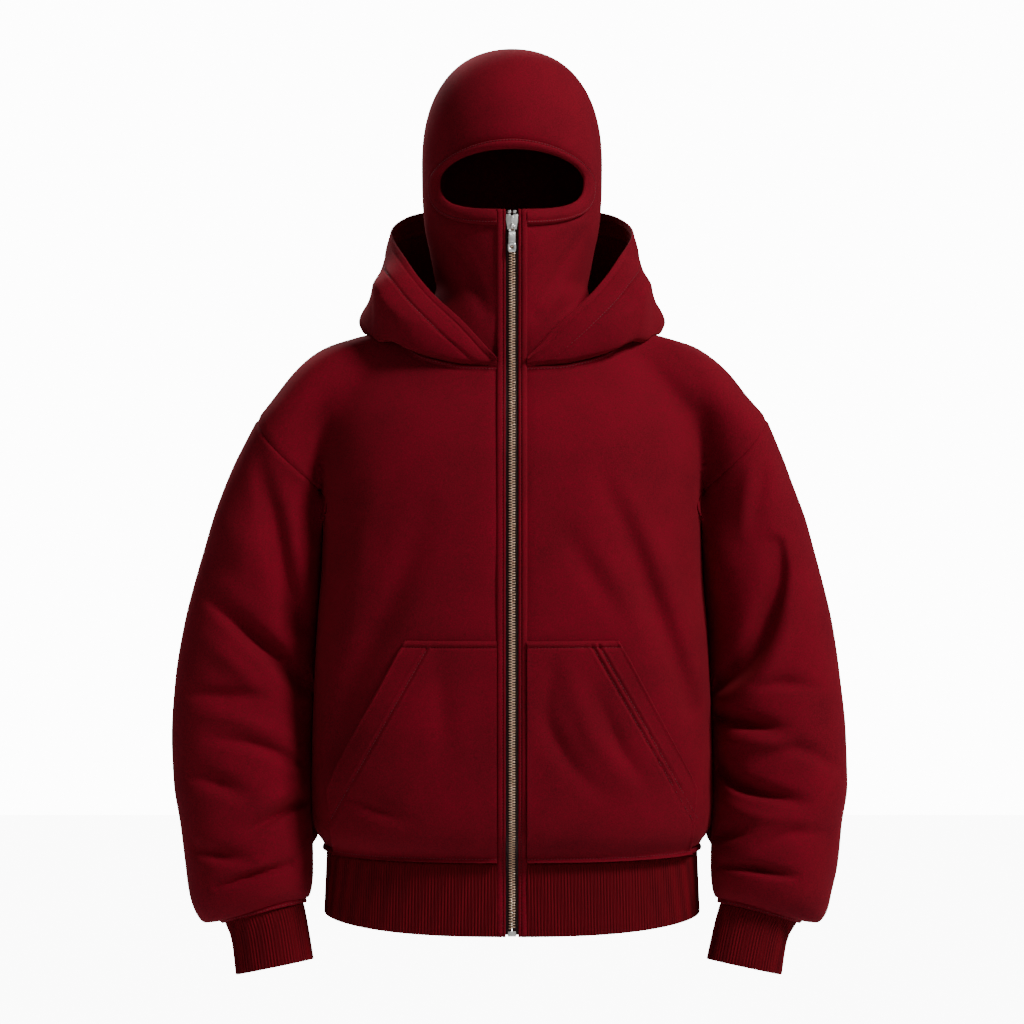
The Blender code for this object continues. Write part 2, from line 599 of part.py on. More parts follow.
def mask_half(columns, flare_rows, lip_rows):
    """The mask's left half: rows from the neck seam to the crown, columns from front to back."""
    curve = eye_hem_line(EYE_STEPS)
    straight = np.linspace(MASK_FLARE_TOP, curve[0, 1], lip_rows + 1)
    curve = curve[1:]
    front_xz = np.concatenate([np.stack([np.full(lip_rows + 1, PANEL_EDGE), straight], 1), curve])
    front_edge = on_mask_front(front_xz[:, 0], front_xz[:, 1])
    rows = len(front_edge)
    back_z = MASK_FLARE_TOP + (CROWN_BACK - MASK_FLARE_TOP) * np.linspace(0, 1, rows)
    level = crown_level(back_z)
    back_edge = np.stack([0 * back_z, read(MASK, "back", back_z) * level, back_z], -1)
    turn = np.linspace(0, 1, columns + 1)
    start_angle = np.arcsin(PANEL_EDGE / read(MASK, "half_width", MASK_FLARE_TOP))
    azimuth = start_angle + (pi - start_angle) * turn
    ring = np.stack([np.sin(azimuth), -np.cos(azimuth), np.full_like(azimuth, MASK_FLARE_TOP)], -1)
    bottom = onto_mask(ring)
    tilt = np.linspace(
        np.arctan2(front_edge[-1, 2] - CROWN_BASE, front_edge[-1, 1]),
        np.arctan2(back_edge[-1, 2] - CROWN_BASE, back_edge[-1, 1]),
        columns + 1,
    )
    top = onto_mask(np.stack([0 * tilt, 60 * np.cos(tilt), CROWN_BASE + 60 * np.sin(tilt)], -1))
    u, v = turn[None, :, None], np.linspace(0, 1, rows)[:, None, None]
    corners = (
        (1 - u) * (1 - v) * bottom[0] + u * (1 - v) * bottom[-1]
        + (1 - u) * v * top[0] + u * v * top[-1]
    )
    patch = (
        (1 - v) * bottom[None] + v * top[None]
        + (1 - u) * front_edge[:, None] + u * back_edge[:, None] - corners
    )
    patch = even_out(patch)
    neck = neck_ring(turn)
    radial = neck[:, :2] / np.linalg.norm(neck[:, :2], axis=1)[:, None]
    neck[:, :2] -= MASK_INSIDE_SEAM * radial
    neck[0, 0] = PANEL_EDGE
    neck[-1, 0] = 0
    neck[:, 2] += SEAM_GAP
    flare = np.linspace(0, 1, flare_rows + 1)[:-1, None]
    shape = np.stack([ease(flare), ease(flare), flare], -1)
    lower = neck[None] + (bottom[None] - neck[None]) * shape
    lower[:, 0, 0] = PANEL_EDGE
    lower[:, -1, 0] = 0
    return np.concatenate([lower, patch])


def hood_grid(side, columns, rows):
    """Half the hood: rows from the neck seam to the rim, columns from front to centre back."""
    shares = np.linspace(0, 1, columns + 1)
    seam = neck_ring(shares) + [0, 0, SEAM_GAP]
    azimuth = np.radians(read(HOOD, "azimuth", shares))
    out = np.stack([np.sin(azimuth), -np.cos(azimuth), np.zeros_like(azimuth)], -1)
    grid = np.zeros((rows + 1, columns + 1, 3))
    for j, share in enumerate(shares):
        profile = [seam[j]]
        for name in ("rest", "lip", "swell"):
            rise = np.array([0, 0, read(HOOD, name + "_up", share)])
            profile.append(seam[j] + out[j] * read(HOOD, name + "_out", share) + rise)
        profile.append([read(HOOD, "rim_" + axis, share) for axis in "xyz"])
        grid[:, j] = along(profile, np.linspace(0, 1, rows + 1))
    lifted = body_top(side, grid[1:, :, 0], grid[1:, :, 1]) + BODY_GAP
    grid[1:, :, 2] = np.maximum(grid[1:, :, 2], lifted)
    grid[:, 0, 0] = np.maximum(grid[:, 0, 0], PANEL_EDGE)
    return grid * np.array([SIDES[side], 1, 1])


def centre_line(z):
    """How far forward the cloth's face is at the zip, from the mask's lip to the hem."""
    places = [row.height for row in MASK[::-1]] + [0, NECK_FRONT]
    fronts = [row.front for row in MASK[::-1]] + [112, 111]
    order = np.argsort(places)
    above = smooth_curve(np.array(places)[order], np.array(fronts)[order], z)
    body = torso_depth(0, np.maximum(z, HEM_SEAM), "front")
    hem = smooth_curve([HEM_SEAM, -590, HEM_BOTTOM], [121, 117.5, 118.5], z)
    return np.where(z > NECK_FRONT, above, np.where(z > HEM_SEAM, body, hem))


def strip_heights(step):
    """Heights down a strip beside the zip, closer where the front turns at the hem."""
    count = int((LIP_TOP - HEM_BOTTOM) / step)
    even = np.linspace(LIP_TOP, HEM_BOTTOM, count + 1)
    return np.sort(np.concatenate([even, [HEM_SEAM + 4, HEM_SEAM - 8]]))[::-1]


# ---------------------------------------------------------------- meshes


def material(name, look_name):
    look = LOOKS[look_name]
    made = bpy.data.materials.new(name)
    made.use_nodes = True
    shader = made.node_tree.nodes["Principled BSDF"]
    linear = [((c / 255 + 0.055) / 1.055) ** 2.4 if c > 10 else c / 255 / 12.92 for c in look.colour]
    shader.inputs["Base Color"].default_value = (*linear, 1)
    shader.inputs["Roughness"].default_value = look.roughness
    shader.inputs["Metallic"].default_value = look.metallic
    return made


def finish(name, bm, look_name):
    """Turns a bmesh in millimetres into a named object in metres."""
    bmesh.ops.recalc_face_normals(bm, faces=bm.faces)
    bmesh.ops.scale(bm, vec=(MM, MM, MM), verts=bm.verts)
    mesh = bpy.data.meshes.new(name)
    bm.to_mesh(mesh)
    bm.free()
    mesh.shade_smooth()
    mesh.set_sharp_from_angle(angle=radians(40))
    mesh.materials.append(material(name + "_look", look_name))
    made = bpy.data.objects.new(name, mesh)
    bpy.context.collection.objects.link(made)
    return made


def unit(vectors):
    return vectors / np.maximum(np.linalg.norm(vectors, axis=-1, keepdims=True), 1e-9)


def surface_normals(points, around):
    """Normals of a grid of points that face away from its middle."""
    if around:
        across = np.roll(points, -1, 1) - np.roll(points, 1, 1)
    else:
        across = np.gradient(points, axis=1)
    down = np.gradient(points, axis=0)
    normals = unit(np.cross(across, down))
    middle = points.mean(axis=1, keepdims=True)
    facing = (normals * (points - middle)).sum(-1).mean()
    return normals if facing > 0 else -normals


def inner_face(points, thickness, around, normals=None):
    """The wall's inner points, set back a little at every cut edge."""
    if normals is None:
        normals = surface_normals(points, around)
    inner = points - thickness * normals
    inner[0] += INNER_INSET * unit(points[1] - points[0])
    inner[-1] += INNER_INSET * unit(points[-2] - points[-1])
    if not around:
        inner[:, 0] += INNER_INSET * unit(points[:, 1] - points[:, 0])
        inner[:, -1] += INNER_INSET * unit(points[:, -2] - points[:, -1])
    return inner


def add_sheet(bm, points, around):
    """Adds a grid of points as quads and returns its vertices by row and column."""
    rows, columns = points.shape[:2]
    made = [[bm.verts.new(points[i, j]) for j in range(columns)] for i in range(rows)]
    last = columns if around else columns - 1
    for i in range(rows - 1):
        for j in range(last):
            k = (j + 1) % columns
            bm.faces.new((made[i][j], made[i][k], made[i + 1][k], made[i + 1][j]))
    return made


def border(sheet, around):
    """The closed lines of vertices round a sheet's cut edges."""
    if around:
        return [sheet[0], sheet[-1]]
    first, last = [row[0] for row in sheet], [row[-1] for row in sheet]
    return [sheet[0] + last[1:] + sheet[-1][::-1][1:] + first[::-1][1:-1]]


def wall(name, outer, inner, look_name, around=False):
    """A closed wall between two matching grids of points."""
    bm = bmesh.new()
    outside, inside = add_sheet(bm, outer, around), add_sheet(bm, inner, around)
    for out_line, in_line in zip(border(outside, around), border(inside, around)):
        for a, b, c, d in zip(
            out_line, out_line[1:] + out_line[:1], in_line[1:] + in_line[:1], in_line
        ):
            bm.faces.new((a, b, c, d))
    return finish(name, bm, look_name)


def ribbed(rings, relief, closed):
    """Moves every second point of each ring out, away from the ring's own middle."""
    for ring in rings:
        if closed:
            tangent = np.roll(ring, -1, 0) - np.roll(ring, 1, 0)
        else:
            tangent = np.gradient(ring, axis=0)
        outward = unit(np.cross(tangent, (0, 0, 1)))
        if (outward * (ring - ring.mean(0))).sum() < 0:
            outward = -outward
        ring[1::2] += relief * outward[1::2]
    return rings


def rib_band(name, top, bottom, closed, look_name):
    """A rib knit band: a zigzag outside between two rings, over a plain inside.

    The inside has one flat for every few ribs, and a many-sided face joins them at each edge.
    """
    cell = 2 * RIBS_PER_CELL
    rings = [top.copy(), bottom.copy()]
    outer = ribbed(rings, RIB_RELIEF, closed)
    inner = []
    for ring in (top, bottom):
        tangent = np.roll(ring, -1, 0) - np.roll(ring, 1, 0) if closed else np.gradient(ring, axis=0)
        outward = unit(np.cross(tangent, (0, 0, 1)))
        if (outward * (ring - ring.mean(0))).sum() < 0:
            outward = -outward
        inner.append((ring - RIB_KNIT * outward)[::cell])
    bm = bmesh.new()
    out_top, out_bottom = [[bm.verts.new(p) for p in ring] for ring in outer]
    in_top, in_bottom = [[bm.verts.new(p) for p in ring] for ring in inner]
    points, flats = len(out_top), len(in_top)
    for j in range(points if closed else points - 1):
        k = (j + 1) % points
        bm.faces.new((out_top[j], out_top[k], out_bottom[k], out_bottom[j]))
    for j in range(flats if closed else flats - 1):
        k = (j + 1) % flats
        bm.faces.new((in_top[k], in_top[j], in_bottom[j], in_bottom[k]))
        for out_line, in_line in ((out_top, in_top), (out_bottom, in_bottom)):
            edge = [out_line[(j * cell + i) % points] for i in range(cell + 1)]
            bm.faces.new(edge + [in_line[k], in_line[j]])
    if not closed:
        for j, i in ((0, 0), (-1, -1)):
            bm.faces.new((out_top[j], out_bottom[j], in_bottom[i], in_top[i]))
    bmesh.ops.triangulate(bm, faces=[f for f in bm.faces if len(f.verts) > 4])
    return finish(name, bm, look_name)


def rib_count(length, closed):
    """Points round a band, so that whole cells of ribs fit its length."""
    cells = round(length / (RIB_PITCH * RIBS_PER_CELL))
    return cells * 2 * RIBS_PER_CELL + (0 if closed else 1)


def block(bm, low, high):
    """Adds a box between two corners."""
    low, high = np.array(low, float), np.array(high, float)
    made = bmesh.ops.create_cube(bm, size=1)
    bmesh.ops.scale(bm, vec=high - low, verts=made["verts"])
    bmesh.ops.translate(bm, vec=(low + high) / 2, verts=made["verts"])


def strip(name, inner_x, outer_x, back, front, heights, look_name):
    """A flat strip down the centre front; back and front are measured from the cloth's face."""
    y = -centre_line(heights)
    normal = unit(np.stack([-np.ones_like(heights), np.gradient(y, heights)], -1))
    points = []
    for x, offset in ((inner_x, front), (outer_x, front), (outer_x, back), (inner_x, back)):
        line = np.stack([np.full_like(heights, x), y + normal[:, 0] * offset, heights], -1)
        line[1:-1, 2] += normal[1:-1, 1] * offset
        points.append(line)
    bm = bmesh.new()
    made = add_sheet(bm, np.stack(points, 1), around=True)
    bm.faces.new(made[0])
    bm.faces.new(made[-1])
    return finish(name, bm, look_name)


# ---------------------------------------------------------------- pieces


def clear_scene():
    for old in list(bpy.data.objects):
        bpy.data.objects.remove(old, do_unlink=True)


def make_body():
    for side in SIDES:
        points = panel(side, "front", FRONT_ROWS)
        wall("front_" + side, points, inner_face(points, FLEECE, False), "fleece")
    left, right = (panel(side, "back", BACK_ROWS) for side in SIDES)
    points = np.concatenate([right[:, :0:-1], left], axis=1)
    wall("back", points, inner_face(points, FLEECE, False), "fleece")


def make_sleeves():
    shares = np.concatenate([np.linspace(0, 0.94, 19), [0.972, 0.99, 1.0]])
    for side in SIDES:
        points = sleeve_grid(side, shares, columns=2 * ARMHOLE_STEPS)
        points[0] += SEAM_GAP * unit(points[1] - points[0])
        inner = inner_face(points, FLEECE, True)
        wall("sleeve_" + side, points, inner, "fleece", around=True)


def make_cuffs():
    for side in SIDES:
        rough = cuff_ring(side, 0.5, 200)
        length = np.linalg.norm(np.roll(rough, -1, 0) - rough, axis=1).sum()
        count = rib_count(length, closed=True)
        top, bottom = cuff_ring(side, 0.0, count), cuff_ring(side, 1.0, count)
        top[:, 2] -= SEAM_GAP
        rib_band("cuff_" + side, top, bottom, True, "rib_knit")


def make_hem():
    rough = hem_ring(HEM_TOP_RING, 400)
    count = rib_count(np.linalg.norm(np.diff(rough, axis=0), axis=1).sum(), closed=False)
    rib_band(
        "hem_rib", hem_ring(HEM_TOP_RING, count), hem_ring(HEM_LOW_RING, count), False, "rib_knit"
    )


def make_mask():
    half = mask_half(columns=12, flare_rows=3, lip_rows=3)
    on_form = (half[..., 2] >= MASK_FLARE_TOP - 1e-6)[..., None]
    normals = np.where(on_form, mask_normals(half), surface_normals(half, False))
    normals[:, -1, 0] = 0
    normals[-1, :, 0] = 0
    normals = unit(normals)
    inner = half - FLEECE * normals
    inner[0] += INNER_INSET * unit(half[1] - half[0])
    inner[:, 0] += INNER_INSET * unit(np.cross(np.gradient(half[:, 0], axis=0), normals[:, 0]))
    inner[:, -1, 0] = 0
    inner[-1, :, 0] = 0
    mirror = np.array([-1, 1, 1])
    bm = bmesh.new()
    lines = []
    for face in (half, inner):
        whole = np.concatenate([face, (face * mirror)[:, -2::-1]], axis=1)
        sheet = add_sheet(bm, whole, False)
        down_one_edge = [row[0] for row in sheet[::-1]]
        up_the_other = [row[-1] for row in sheet]
        lines.append(down_one_edge + sheet[0][1:] + up_the_other[1:])
    out_line, in_line = lines
    for a, b, c, d in zip(out_line, out_line[1:], in_line[1:], in_line):
        bm.faces.new((a, b, c, d))
    bmesh.ops.remove_doubles(bm, verts=bm.verts, dist=1e-3)
    finish("mask", bm, "fleece")


def make_face_band():
    start = eye_share_at_placket(EYE_CUT)
    lines = []
    for half in (eye_hem_line(EYE_STEPS), eye_line(EYE_CUT, np.linspace(start, 1, EYE_STEPS + 1))):
        whole = np.concatenate([half, half[-2::-1] * np.array([-1, 1])])
        lines.append(on_mask_front(whole[:, 0], whole[:, 1]))
    hem, cut = lines
    points = np.stack([hem, cut])
    points[0] += SEAM_GAP * unit(cut - hem)
    wall("face_band", points, inner_face(points, BAND_CLOTH, False, mask_normals(points)), "fleece")


def make_hood():
    for side, sign in SIDES.items():
        outer = hood_grid(side, columns=4 * NECK_STEPS, rows=10)
        normals = surface_normals(outer, False)
        if normals[-1, 8, 0] * sign < 0:
            normals = -normals
        inner = inner_face(outer, FLEECE, False, normals)
        for points in (outer, inner):
            points[..., 0] = sign * np.maximum(sign * points[..., 0], SEAM_GAP / 2)
        wall("hood_" + side, outer, inner, "fleece")


def make_pockets():
    heights = np.array(FRONT_ROWS[3:-1] + [HEM_SEAM + 2.5])
    for side in SIDES:
        edge = np.interp(-heights, [-z for z, x in POCKET_EDGE], [x for z, x in POCKET_EDGE])
        across = np.sin(np.linspace(0, pi / 2, 9))[None]
        inner_edge = PANEL_EDGE + SEAM_GAP
        x = inner_edge + (edge[:, None] - inner_edge) * across
        z = np.repeat(heights[:, None], across.size, axis=1)
        points = on_body(side, "front", SIDES[side] * x, z)
        normals = surface_normals(points, False)
        if normals[4, 3, 1] > 0:
            normals = -normals
        near_mouth = across**3 * np.interp(z, [-510, -480, -350, -333], [0, 1, 1, 0])
        lift = LAID_ON + FLEECE + POCKET_MOUTH_LIFT * near_mouth
        outer = points + lift[..., None] * normals
        inner = outer - FLEECE * normals
        wall("pocket_" + side, outer, inner, "fleece")


def make_zip():
    for side, sign in SIDES.items():
        heights = strip_heights(40)
        edges = sign * PLACKET_INNER, sign * PLACKET_OUTER
        strip("placket_" + side, *edges, *PLACKET_LAYER, heights, "fleece")
        tape_heights = heights.copy()
        tape_heights[0] -= TAPE_SHORTER
        tape_heights[-1] += TAPE_SHORTER
        edges = sign * TAPE_INNER, sign * TAPE_OUTER
        strip("zip_tape_" + side, *edges, *TAPE_LAYER, tape_heights, "zip_tape")
    chain = strip_heights(40)
    chain = np.concatenate([[SLIDER_BOTTOM + 6], chain[chain < SLIDER_BOTTOM]])
    chain[-1] += BOTTOM_STOP + 1
    strip("zip_chain", -TEETH_HALF, TEETH_HALF, *TEETH_LAYER, chain, "zip_teeth")


def make_zip_ends():
    bottom = HEM_BOTTOM + 0.6
    y = -float(centre_line(np.array(bottom)))
    bm = bmesh.new()
    block(bm, (-4.4, y + 0.2, bottom), (4.4, y + 2.3, bottom + BOTTOM_STOP))
    finish("zip_bottom_stop", bm, "zip_metal")
    for side, sign in SIDES.items():
        z = SLIDER_TOP + 0.8
        y = -float(centre_line(np.array(z)))
        bm = bmesh.new()
        low, high = sorted((sign * 1.0, sign * 4.4))
        block(bm, (low, y + 0.4, z), (high, y + 2.3, z + 3.6))
        finish("zip_top_stop_" + side, bm, "zip_metal")


def make_slider_and_pull():
    y = -float(centre_line(np.array((SLIDER_TOP + SLIDER_BOTTOM) / 2)))
    front = y - 1.4
    chain_back = y + 3.7
    w = SLIDER_HALF_WIDTH
    bm = bmesh.new()
    block(bm, (-w, front, SLIDER_BOTTOM), (w, front + SLIDER_PLATE, SLIDER_TOP))
    slider = finish("zip_slider", bm, "zip_metal")
    pieces = []
    bm = bmesh.new()
    block(bm, (-w, chain_back + 0.7, SLIDER_BOTTOM), (w, chain_back + 2.2, SLIDER_TOP))
    pieces.append(finish("slider_back_plate", bm, "zip_metal"))
    bm = bmesh.new()
    block(bm, (-1.8, front + 1, SLIDER_TOP - 4.5), (1.8, chain_back + 1, SLIDER_TOP - 0.6))
    pieces.append(finish("slider_neck", bm, "zip_metal"))
    hinge_y = front - 1.6
    bm = bmesh.new()
    angles = np.radians(np.linspace(90, 270, 9))
    ring = [(hinge_y + BAIL_OUTER * cos(a), PULL_HINGE_HEIGHT + BAIL_OUTER * sin(a)) for a in angles]
    hole = [(hinge_y + BAIL_INNER * cos(a), PULL_HINGE_HEIGHT + BAIL_INNER * sin(a)) for a in angles]
    root = front + 0.8
    outline = (
        [(root, ring[0][1])] + ring + [(root, ring[-1][1]), (root, hole[-1][1])] + hole[::-1]
        + [(root, hole[0][1])]
    )
    face = bm.faces.new([bm.verts.new((-BAIL_HALF_WIDTH, a, b)) for a, b in outline])
    made = bmesh.ops.extrude_face_region(bm, geom=[face])
    moved = [v for v in made["geom"] if isinstance(v, bmesh.types.BMVert)]
    bmesh.ops.translate(bm, vec=(2 * BAIL_HALF_WIDTH, 0, 0), verts=moved)
    pieces.append(finish("slider_bail", bm, "zip_metal"))
    for piece in pieces:
        piece.hide_render = True
        piece.display_type = "WIRE"
        union = slider.modifiers.new(piece.name, "BOOLEAN")
        union.operation = "UNION"
        union.object = piece

    t, w = PULL_HALF_THICKNESS, PULL_HALF_WIDTH
    bm = bmesh.new()
    block(bm, (-w, -t, -PULL_LENGTH), (w, t, t))
    pull = finish("zip_pull", bm, "zip_metal")
    pull.location = (0, hinge_y * MM, PULL_HINGE_HEIGHT * MM)
    for name, (start, end, half) in (("pull_window", PULL_WINDOW), ("pull_hole", PULL_HOLE)):
        bm = bmesh.new()
        block(bm, (-half, -3, -end), (half, 3, -start))
        cutter = finish(name, bm, "zip_metal")
        cutter.parent = pull
        cutter.hide_render = True
        cutter.display_type = "WIRE"
        cut = pull.modifiers.new(name, "BOOLEAN")
        cut.operation = "DIFFERENCE"
        cut.object = cutter


clear_scene()
make_body()
make_sleeves()
make_cuffs()
make_hem()
make_mask()
make_face_band()
make_hood()
make_pockets()
make_zip()
make_zip_ends()
make_slider_and_pull()
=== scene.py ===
"""Zip up hoodie with a face mask and a hood that lies back like a cowl, filled out as worn.

The front faces -Y and the wearer's left is +X. Sizes are in millimetres, and become metres
where a mesh is made. The pieces follow in the order in which the garment is sewn together.
"""

from collections import namedtuple
from math import cos, pi, radians, sin

import bmesh
import bpy
import numpy as np
from mathutils import Matrix, Vector


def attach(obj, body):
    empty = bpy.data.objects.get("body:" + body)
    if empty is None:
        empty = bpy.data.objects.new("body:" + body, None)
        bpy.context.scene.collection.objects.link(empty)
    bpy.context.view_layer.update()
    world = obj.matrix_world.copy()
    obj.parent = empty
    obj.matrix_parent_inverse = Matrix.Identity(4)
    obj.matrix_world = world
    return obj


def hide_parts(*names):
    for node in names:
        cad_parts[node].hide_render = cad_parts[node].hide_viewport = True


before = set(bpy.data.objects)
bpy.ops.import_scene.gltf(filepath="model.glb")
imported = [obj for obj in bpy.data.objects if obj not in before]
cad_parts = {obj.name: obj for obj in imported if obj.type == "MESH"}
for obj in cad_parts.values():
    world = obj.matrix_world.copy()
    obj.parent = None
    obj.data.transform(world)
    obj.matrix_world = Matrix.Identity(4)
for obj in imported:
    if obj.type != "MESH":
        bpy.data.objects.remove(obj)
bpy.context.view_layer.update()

# ================================================================ studio
# A camera straight in front at chest height, a plain pale floor, a soft light high on the right
# of the view, weaker ones on the left, in front and high behind, and an even white surround.

CAMERA_PLACE = (0, -2.5, -0.2002)
CAMERA_LENS = 79.9
CHEST_HEIGHT = -0.15

camera = bpy.data.objects.new("camera", bpy.data.cameras.new("camera"))
camera.location = CAMERA_PLACE
camera.rotation_euler = (radians(90), 0, 0)
camera.data.lens = CAMERA_LENS
camera.data.sensor_width = 36
bpy.context.collection.objects.link(camera)
bpy.context.scene.camera = camera


def soft_light(name, place, size, power):
    """A square area light that points at the chest."""
    lamp = bpy.data.lights.new(name, "AREA")
    lamp.shape = "SQUARE"
    lamp.size = size
    lamp.energy = power
    made = bpy.data.objects.new(name, lamp)
    made.location = place
    toward = Vector((0, 0, CHEST_HEIGHT)) - Vector(place)
    made.rotation_euler = toward.to_track_quat("-Z", "Y").to_euler()
    bpy.context.collection.objects.link(made)


soft_light("key_light", (2.15, -1.75, 2.2), 0.8, 134)
soft_light("left_light", (-2.7, -1.2, 0.5), 1.2, 4)
soft_light("front_light", (0.3, -3.7, 0.2), 2.4, 9)
soft_light("back_light", (-0.9, 2.7, 2.3), 1.0, 70)

WHITE = (1, 1, 1, 1)
SURROUND_LIGHT = 0.12  # what the surround throws on the garment
SURROUND_SEEN = 13  # how bright it looks to the camera
FLOOR_SEEN = 10.5
FLOOR_HEIGHT = -1.6


def bright_to_camera(tree, plain, bright, output):
    """Shows the camera the bright shader, and everything else the plain one."""
    which = tree.nodes.new("ShaderNodeMixShader")
    seen = tree.nodes.new("ShaderNodeLightPath")
    tree.links.new(seen.outputs["Is Camera Ray"], which.inputs[0])
    tree.links.new(plain.outputs[0], which.inputs[1])
    tree.links.new(bright.outputs[0], which.inputs[2])
    tree.links.new(which.outputs[0], output.inputs["Surface"])


surround = bpy.data.worlds.new("surround")
surround.use_nodes = True
nodes = surround.node_tree.nodes
dim = nodes["Background"]
dim.inputs["Color"].default_value = WHITE
dim.inputs["Strength"].default_value = SURROUND_LIGHT
bright = nodes.new("ShaderNodeBackground")
bright.inputs["Color"].default_value = WHITE
bright.inputs["Strength"].default_value = SURROUND_SEEN
bright_to_camera(surround.node_tree, dim, bright, nodes["World Output"])
bpy.context.scene.world = surround

floor_bm = bmesh.new()
bmesh.ops.create_grid(floor_bm, x_segments=1, y_segments=1, size=8)
bmesh.ops.translate(floor_bm, vec=(0, 0, FLOOR_HEIGHT), verts=floor_bm.verts)
floor_mesh = bpy.data.meshes.new("floor")
floor_bm.to_mesh(floor_mesh)
floor_bm.free()
floor = bpy.data.objects.new("floor", floor_mesh)
bpy.context.collection.objects.link(floor)
floor_paint = bpy.data.materials.new("pale_floor")
floor_paint.use_nodes = True
nodes = floor_paint.node_tree.nodes
matt = nodes["Principled BSDF"]
matt.inputs["Base Color"].default_value = (0.85, 0.85, 0.85, 1)
lit = nodes.new("ShaderNodeEmission")
lit.inputs["Color"].default_value = WHITE
lit.inputs["Strength"].default_value = FLOOR_SEEN
bright_to_camera(floor_paint.node_tree, matt, lit, nodes["Material Output"])
floor_mesh.materials.append(floor_paint)

# ================================================================ body panels
# The two fronts and the back are cut from heavy brushed fleece, sewn at the shoulders and
# sides. Their form is the torso and upper arms as one, with the hollow in front of each arm.

MM = 0.001
SIDES = {"left": 1, "right": -1}
FLEECE = 2.4
SEAM_GAP = 0.3
HEM_SEAM = -568.0
PLACKET_OUTER = 16.0
PANEL_EDGE = PLACKET_OUTER - 0.6  # the cloth runs in under the placket's edge

# The torso tube: half width, half depths and squareness of its sections
Torso = namedtuple("Torso", "height half_width front back power")
TORSO = [
    Torso(24, 84, 84, 88, 2.0),
    Torso(4, 114, 98, 98, 2.1),
    Torso(-20, 155, 106, 108, 2.2),
    Torso(-49, 192, 112, 121, 2.3),
    Torso(-64, 201, 115.5, 127, 2.4),
    Torso(-102, 208, 130, 137, 2.6),
    Torso(-140, 209, 141, 144, 2.6),
    Torso(-185, 207, 148, 149, 2.6),
    Torso(-210, 206.5, 150, 150, 2.6),
    Torso(-260, 208, 151, 150, 2.6),
    Torso(-320, 212.5, 152, 149, 2.6),
    Torso(-394, 216.5, 152, 148, 2.6),
    Torso(-453, 218, 150, 147, 2.6),
    Torso(-508, 218.5, 146, 143, 2.6),
    Torso(-536, 217.5, 140, 138, 2.6),
    Torso(-549, 213.5, 132.5, 130.5, 2.55),
    Torso(-558, 207.5, 125, 122.5, 2.5),
    Torso(-568, 204, 121.5, 118.5, 2.5),
]

# The shoulders and upper arms: the outline on each side, the arm's inner edge and depth, and
# the depth of the web of cloth in the hollow between arm and torso
Shoulder = namedtuple("Shoulder", "height right_edge left_edge inner depth web")
SHOULDERS = [
    Shoulder(24, 84, 84, 30, 40, 0),
    Shoulder(4, 116, 116, 55, 50, 0),
    Shoulder(-10, 172, 170, 90, 58, 0),
    Shoulder(-20, 203, 201, 112, 64, 0),
    Shoulder(-30, 220, 217, 127, 70, 15),
    Shoulder(-49, 240, 238, 146, 77, 34),
    Shoulder(-72, 258, 256, 166, 81, 48),
    Shoulder(-99, 278, 278, 189, 82, 52),
    Shoulder(-130, 295, 292, 198, 82, 48),
    Shoulder(-168, 312, 306, 204, 82, 38),
    Shoulder(-212, 328, 322, 207.5, 81, 0),
    Shoulder(-268, 345, 338, 211, 80, 0),
    Shoulder(-325, 359, 351, 216, 79, 0),
]
WEB_HALF_WIDTH = 24.0

# The sleeve tube, from the armhole (0) to the cuff (1)
Sleeve = namedtuple(
    "Sleeve", "share right_outer left_outer outer_height inner inner_height depth forward lean"
)
SLEEVES = [
    Sleeve(0.00, 278, 278, -99, 207.5, -210, 82, 0, 0),
    Sleeve(0.06, 295, 292, -130, 208.5, -234, 82, 0, 0),
    Sleeve(0.13, 312, 306, -168, 209.6, -261, 82, 0, 0),
    Sleeve(0.21, 328, 322, -212, 212.0, -294, 81, 0, 0.01),
    Sleeve(0.31, 345, 338, -268, 215.1, -336, 80, -2, 0.03),
    Sleeve(0.41, 359, 351, -325, 217.2, -378, 79, -5, 0.05),
    Sleeve(0.52, 368, 359, -385, 218.7, -422, 78, -9, 0.07),
    Sleeve(0.62, 371, 364, -440, 219.7, -463, 77, -14, 0.09),
    Sleeve(0.72, 368, 365, -495, 220.0, -504, 75, -20, 0.11),
    Sleeve(0.81, 360, 358, -540, 218.8, -537, 73, -26, 0.13),
    Sleeve(0.88, 354, 353, -582, 216.2, -568, 70, -31, 0.14),
    Sleeve(0.94, 349.5, 346, -612, 215.8, -592, 64, -35, 0.15),
    Sleeve(0.97, 342, 340, -634, 217, -607, 53, -38, 0.15),
    Sleeve(0.987, 331, 329, -645, 219.5, -615.5, 40.5, -39, 0.15),
    Sleeve(1.00, 311, 309, -642.7, 226, -622.7, 34.3, -40, 0.15),
]
SLEEVE_POWER = 2.2
ARMHOLE_BEND = 50.0  # how far the armhole seam swings towards the body
ARMHOLE_STEPS = 36  # the panels and the sleeve meet at these steps along the armhole seam
NECK_STEPS = 14  # the panels, mask and hood meet at these steps along half the neck seam
SHOULDER_STEPS = 26
FOLD_FADE = 45.0  # folds are shallower where a form's half depth is less than this
HEM_FADE = 25.0  # and where the hem seam is nearer than this

# The neck seam, seen from the front and from the back, as distance out and height
NECK_SEAM_FRONT = [
    (PANEL_EDGE, -46), (49, -45.3), (75, -40), (98, -33), (111, -23), (115.6, -8), (116, 4),
]
NECK_SEAM_BACK = [(0, 24), (40, 22), (75, 15), (100, 9), (116, 4)]

